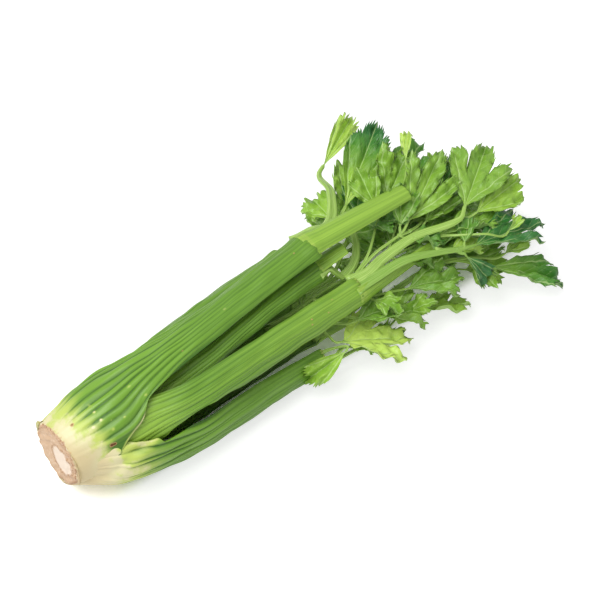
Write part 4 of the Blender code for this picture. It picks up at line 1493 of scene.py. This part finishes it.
def above_table(points):
    """The same points, with each height h under r = TABLE_ROOM squeezed to r exp(h / r - 1), above 0."""
    height = points[..., 2] + ORIGIN[2]
    squeezed = TABLE_ROOM * np.exp(np.minimum(height / TABLE_ROOM - 1, 0))
    lifted = points.copy()
    lifted[..., 2] = np.where(height < TABLE_ROOM, squeezed, height) - ORIGIN[2]
    return lifted


def build_leaf(shape, look, seed, rows=22, station=3.5 * MM):
    """Poses the leaf, and lofts its stem and its blade as one piece."""
    draw = np.random.default_rng(seed)
    shape.turn_blade(look.turn, look.swing)
    shape.move_blade(look.shift)
    if look.via:
        places = [np.array(place) * MM for place in look.via]
        shape.follow([*shape.knots[:2], *places, *shape.knots[-2:]])
    shape.root_in_parent()
    margin = toothed_margin(look, draw)
    blade, blade_veins, blade_kind = blade_rings(shape, look, draw, margin, rows)
    stem, stem_veins, stem_kind = stem_rings(shape, look, margin[0], station)
    rings = above_table(np.concatenate([stem, blade]))
    veins = [np.concatenate(pair) for pair in zip(stem_veins, blade_veins)]
    kind = [np.concatenate(pair) for pair in zip(stem_kind, blade_kind)]
    name = shape.leaf.name
    node = name if name in frame["nodes"] else None
    numbers = {"veins": veins, "kind": kind}
    return make_piece(name + "_blade", rings, numbers, leaf_material, node)


faces = 0
for number, leaf in enumerate(LEAVES):
    piece = build_leaf(shapes[leaf.name], LOOKS.get(leaf.name, Look()), 500 + number)
    faces += len(piece.data.polygons)
print(len(LEAVES), "leaves with", faces, "faces")

# %% [markdown]
# ## Side leaflets
#
# A celery leaf has more than the leaflet on its end: smaller ones, mostly in pairs, stand on its
# stem at an angle to it. They fill the tuft. The frame leaves them out, since they are too small to
# carry or to stop anything, and they ride on the head like the rest.


# %% The side leaflets' measurements
class Leaflet(NamedTuple):
    parent: str
    share: float  # where it stands on the parent's stem
    angle: float  # degrees from the stem, to the left or to the right
    length: float  # mm
    age: float = 0.4
    rise: float = 10.0  # degrees that it rises from the parent's blade
    breadth: float = 38.0
    stem: float = 6.0  # mm from the parent's stem to its blade


LEAFLETS = [
    Leaflet("leaf_14", 0.82, 50, 36, 0.35),
    Leaflet("leaf_14", 0.80, -50, 34, 0.45),
    Leaflet("leaf_13", 0.86, 50, 34, 0.3),
    Leaflet("leaf_13", 0.84, -48, 34, 0.4),
    Leaflet("leaf_08", 0.90, 45, 36, 0.5),
    Leaflet("leaf_08", 0.88, -45, 34, 0.6),
    Leaflet("leaf_11", 0.80, 50, 38, 0.75),
    Leaflet("leaf_11", 0.78, -50, 38, 0.6),
    Leaflet("leaf_12", 0.80, 50, 34, 0.4),
    Leaflet("leaf_12", 0.78, -50, 34, 0.5),
    Leaflet("leaf_35", 0.60, 55, 30, 0.45),
    Leaflet("leaf_35", 0.58, -55, 30, 0.35),
    Leaflet("leaf_32", 0.70, 55, 32, 0.5),
    Leaflet("leaf_32", 0.68, -55, 32, 0.5),
    Leaflet("leaf_33", 0.62, -60, 26, 0.35),
    Leaflet("leaf_38", 0.88, 45, 36, 0.4),
    Leaflet("leaf_38", 0.86, -45, 36, 0.5),
    Leaflet("leaf_30", 0.84, 45, 34, 0.5),
    Leaflet("leaf_30", 0.82, -45, 34, 0.45),
    Leaflet("leaf_36", 0.84, 45, 34, 0.5),
    Leaflet("leaf_36", 0.82, -45, 34, 0.55),
    Leaflet("leaf_39", 0.82, 45, 30, 0.5),
    Leaflet("leaf_39", 0.80, -45, 30, 0.45),
    Leaflet("leaf_09", 0.92, 50, 30, 0.4),
    Leaflet("leaf_09", 0.90, -50, 28, 0.35),
    Leaflet("leaf_03", 0.90, 50, 26, 0.6),
    Leaflet("leaf_23", 0.74, 50, 28, 0.4),
    Leaflet("leaf_23", 0.72, -50, 28, 0.35),
    Leaflet("leaf_27", 0.78, 50, 24, 0.35),
    Leaflet("leaf_27", 0.76, -50, 24, 0.3),
    Leaflet("leaf_23", 0.28, 60, 18, 0.3),
    Leaflet("leaf_39", 0.24, 60, 18, 0.35),
    Leaflet("leaf_39", 0.30, -60, 18, 0.5),
]


# %% [markdown]
# ## Build the side leaflets
#
# A leaflet's way is its parent's heading, turned in the plane of the parent's blade and raised a
# little. From there on it is a leaf like the others: its stem starts inside the parent's stem, and
# its blade is rolled by a different angle each time, so that pairs don't look stamped.


# %% Add the side leaflets
LEAFLET_STEM = 2.0  # mm thick
LEAFLET_ROWS = 16
ROLL_STEP, ROLLS = 10, 5  # degrees: they are rolled by -20, -10, 0, 10 and 20 in turn


def build_leaflet(leaflet, number):
    """A small leaf, off at the leaflet's angle from its parent's stem and a little up."""
    parent = shapes[leaflet.parent]
    start, heading = parent.stem_line(leaflet.share)[0], parent.stem_heading(leaflet.share)
    side = unit(parent.side - (parent.side @ heading) * heading)
    up = np.cross(heading, side)
    turn, rise = math.radians(leaflet.angle), math.radians(leaflet.rise)
    way = (heading * math.cos(turn) + side * math.sin(turn)) * math.cos(rise) + up * math.sin(rise)
    base = start + way * leaflet.stem * MM
    tip = base + way * leaflet.length * MM
    name = f"{leaflet.parent}_side_{number}"
    roll = ROLL_STEP * (number % ROLLS - ROLLS // 2)
    leaf = Leaf(name, leaflet.parent, leaflet.share, LEAFLET_STEM,
                tuple(base / MM), tuple(tip / MM), leaflet.breadth, roll)
    shape = LeafShape(leaf, start, unit(heading + way))
    shape.rooted = start - heading * MM
    look = Look(leaflet.age, 0.12, 3, 0.3, wavy=1.3, grow=1.0, fan=1.0)
    return build_leaf(shape, look, 700 + number, rows=LEAFLET_ROWS)


faces = 0
for number, leaflet in enumerate(LEAFLETS):
    faces += len(build_leaflet(leaflet, number).data.polygons)
print(len(LEAFLETS), "side leaflets with", faces, "faces")

# %% [markdown]
# ## The table
#
# The celery lies on a plain white table that runs on without a visible edge. In this soft light a
# white table comes out pale grey, so the camera sees a brighter one, while the celery is lit from
# below as by plain paper. Beside the head the camera's table is mixed with a white glow, which
# leaves only a faint shadow there. Under the head it stays dark, or the celery would seem to float.

# %% Lay the table
TABLE_WHITE = 1.42  # how bright the camera sees the table, where 1 is white paper
SHADOW_LIFT = 0.68  # how far its shadows are lifted towards white, beside the head
HEAD_MIDDLE = 22 * MM  # where the dark middle of the shadow lies, across the head
LIFT_FROM, LIFT_TO = 44 * MM, 56 * MM  # from that middle
TABLE_SIZE, TABLE_TOP = 30, -0.5 * MM

bpy.ops.mesh.primitive_plane_add(size=TABLE_SIZE, location=(0, 0, TABLE_TOP))
table = bpy.context.object
table.name = "table"
paper = Finish("table_white")
table.data.materials.append(paper.finish(Base_Color=(0.9, 0.9, 0.9), Roughness=0.9))
by_camera = paper.node("ShaderNodeLightPath", output="Is Camera Ray")
bright = paper.node("ShaderNodeBsdfDiffuse", {"Color": (TABLE_WHITE, TABLE_WHITE, TABLE_WHITE)})
glow = paper.node("ShaderNodeEmission", {"Color": (1.0, 1.0, 1.0), "Strength": 1.0})
table_place = paper.node("ShaderNodeTexCoord", output="Object")
across_table = paper.node("ShaderNodeSeparateXYZ", [table_place], output=1)
beside = paper.step(abs(across_table - float(ORIGIN[1] + HEAD_MIDDLE)), LIFT_FROM, LIFT_TO)
seen = paper.node("ShaderNodeMixShader", [beside * SHADOW_LIFT, bright, glow])
plain = Wire(paper, paper.shader.outputs[0])
surface = paper.node("ShaderNodeMixShader", [by_camera, plain, seen])
paper.put(paper.tree.nodes["Material Output"].inputs["Surface"], surface)
print("the table's top is", TABLE_TOP / MM, "mm from the frame's ground")

# %% [markdown]
# ## Camera and light
#
# The camera looks down at the head from the side of its cut end, with a long lens, which keeps the
# stalks nearly parallel. Light comes from all round, as in a white tent, with one large soft lamp
# above and to the left that gives the stalks their form and a faint shadow on the right.

# %% Set up the camera and the light
AZIMUTH, ELEVATION = math.radians(-37), math.radians(50)
DISTANCE = 1.088
LOOKED_AT = (0.222, 0.0095, 0.042)  # from the head's own origin
LENS, SENSOR = 85, 36  # mm
TENT_LIGHT = 0.62
LAMP_SIZE, LAMP_ENERGY, LAMP_DISTANCE = 0.9, 16, 1.4


def hang(data, place, facing):
    """Adds a camera or a lamp at a place, turned to face one way."""
    hung = bpy.data.objects.new(data.name, data)
    hung.location = place
    hung.rotation_mode = "QUATERNION"
    hung.rotation_quaternion = facing.to_track_quat("-Z", "Y")
    bpy.context.scene.collection.objects.link(hung)
    return hung


scene = bpy.context.scene
world = scene.world or bpy.data.worlds.new("tent")
scene.world = world
world.use_nodes = True
tent = world.node_tree.nodes["Background"].inputs
tent["Color"].default_value = (1.0, 1.0, 1.0, 1.0)
tent["Strength"].default_value = TENT_LIGHT

target = Vector(LOOKED_AT) + Vector(ORIGIN)
level = math.cos(ELEVATION)
back = Vector((math.sin(AZIMUTH) * level, -math.cos(AZIMUTH) * level, math.sin(ELEVATION)))
view = bpy.data.cameras.new("camera")
view.lens, view.sensor_width = LENS, SENSOR
scene.camera = hang(view, target + back * DISTANCE, -back)

upwards = Vector((0, 0, 1))
right = -back.cross(upwards).normalized()
lamp_way = (right * -0.55 + upwards * 1.3 + Vector((back.x, back.y, 0)) * 0.6).normalized()
lamp = bpy.data.lights.new("lamp", "AREA")
lamp.size, lamp.energy = LAMP_SIZE, LAMP_ENERGY
hang(lamp, target + lamp_way * LAMP_DISTANCE, -lamp_way)
scene.view_settings.view_transform = "Standard"
print("camera at", [round(v, 3) for v in scene.camera.location])
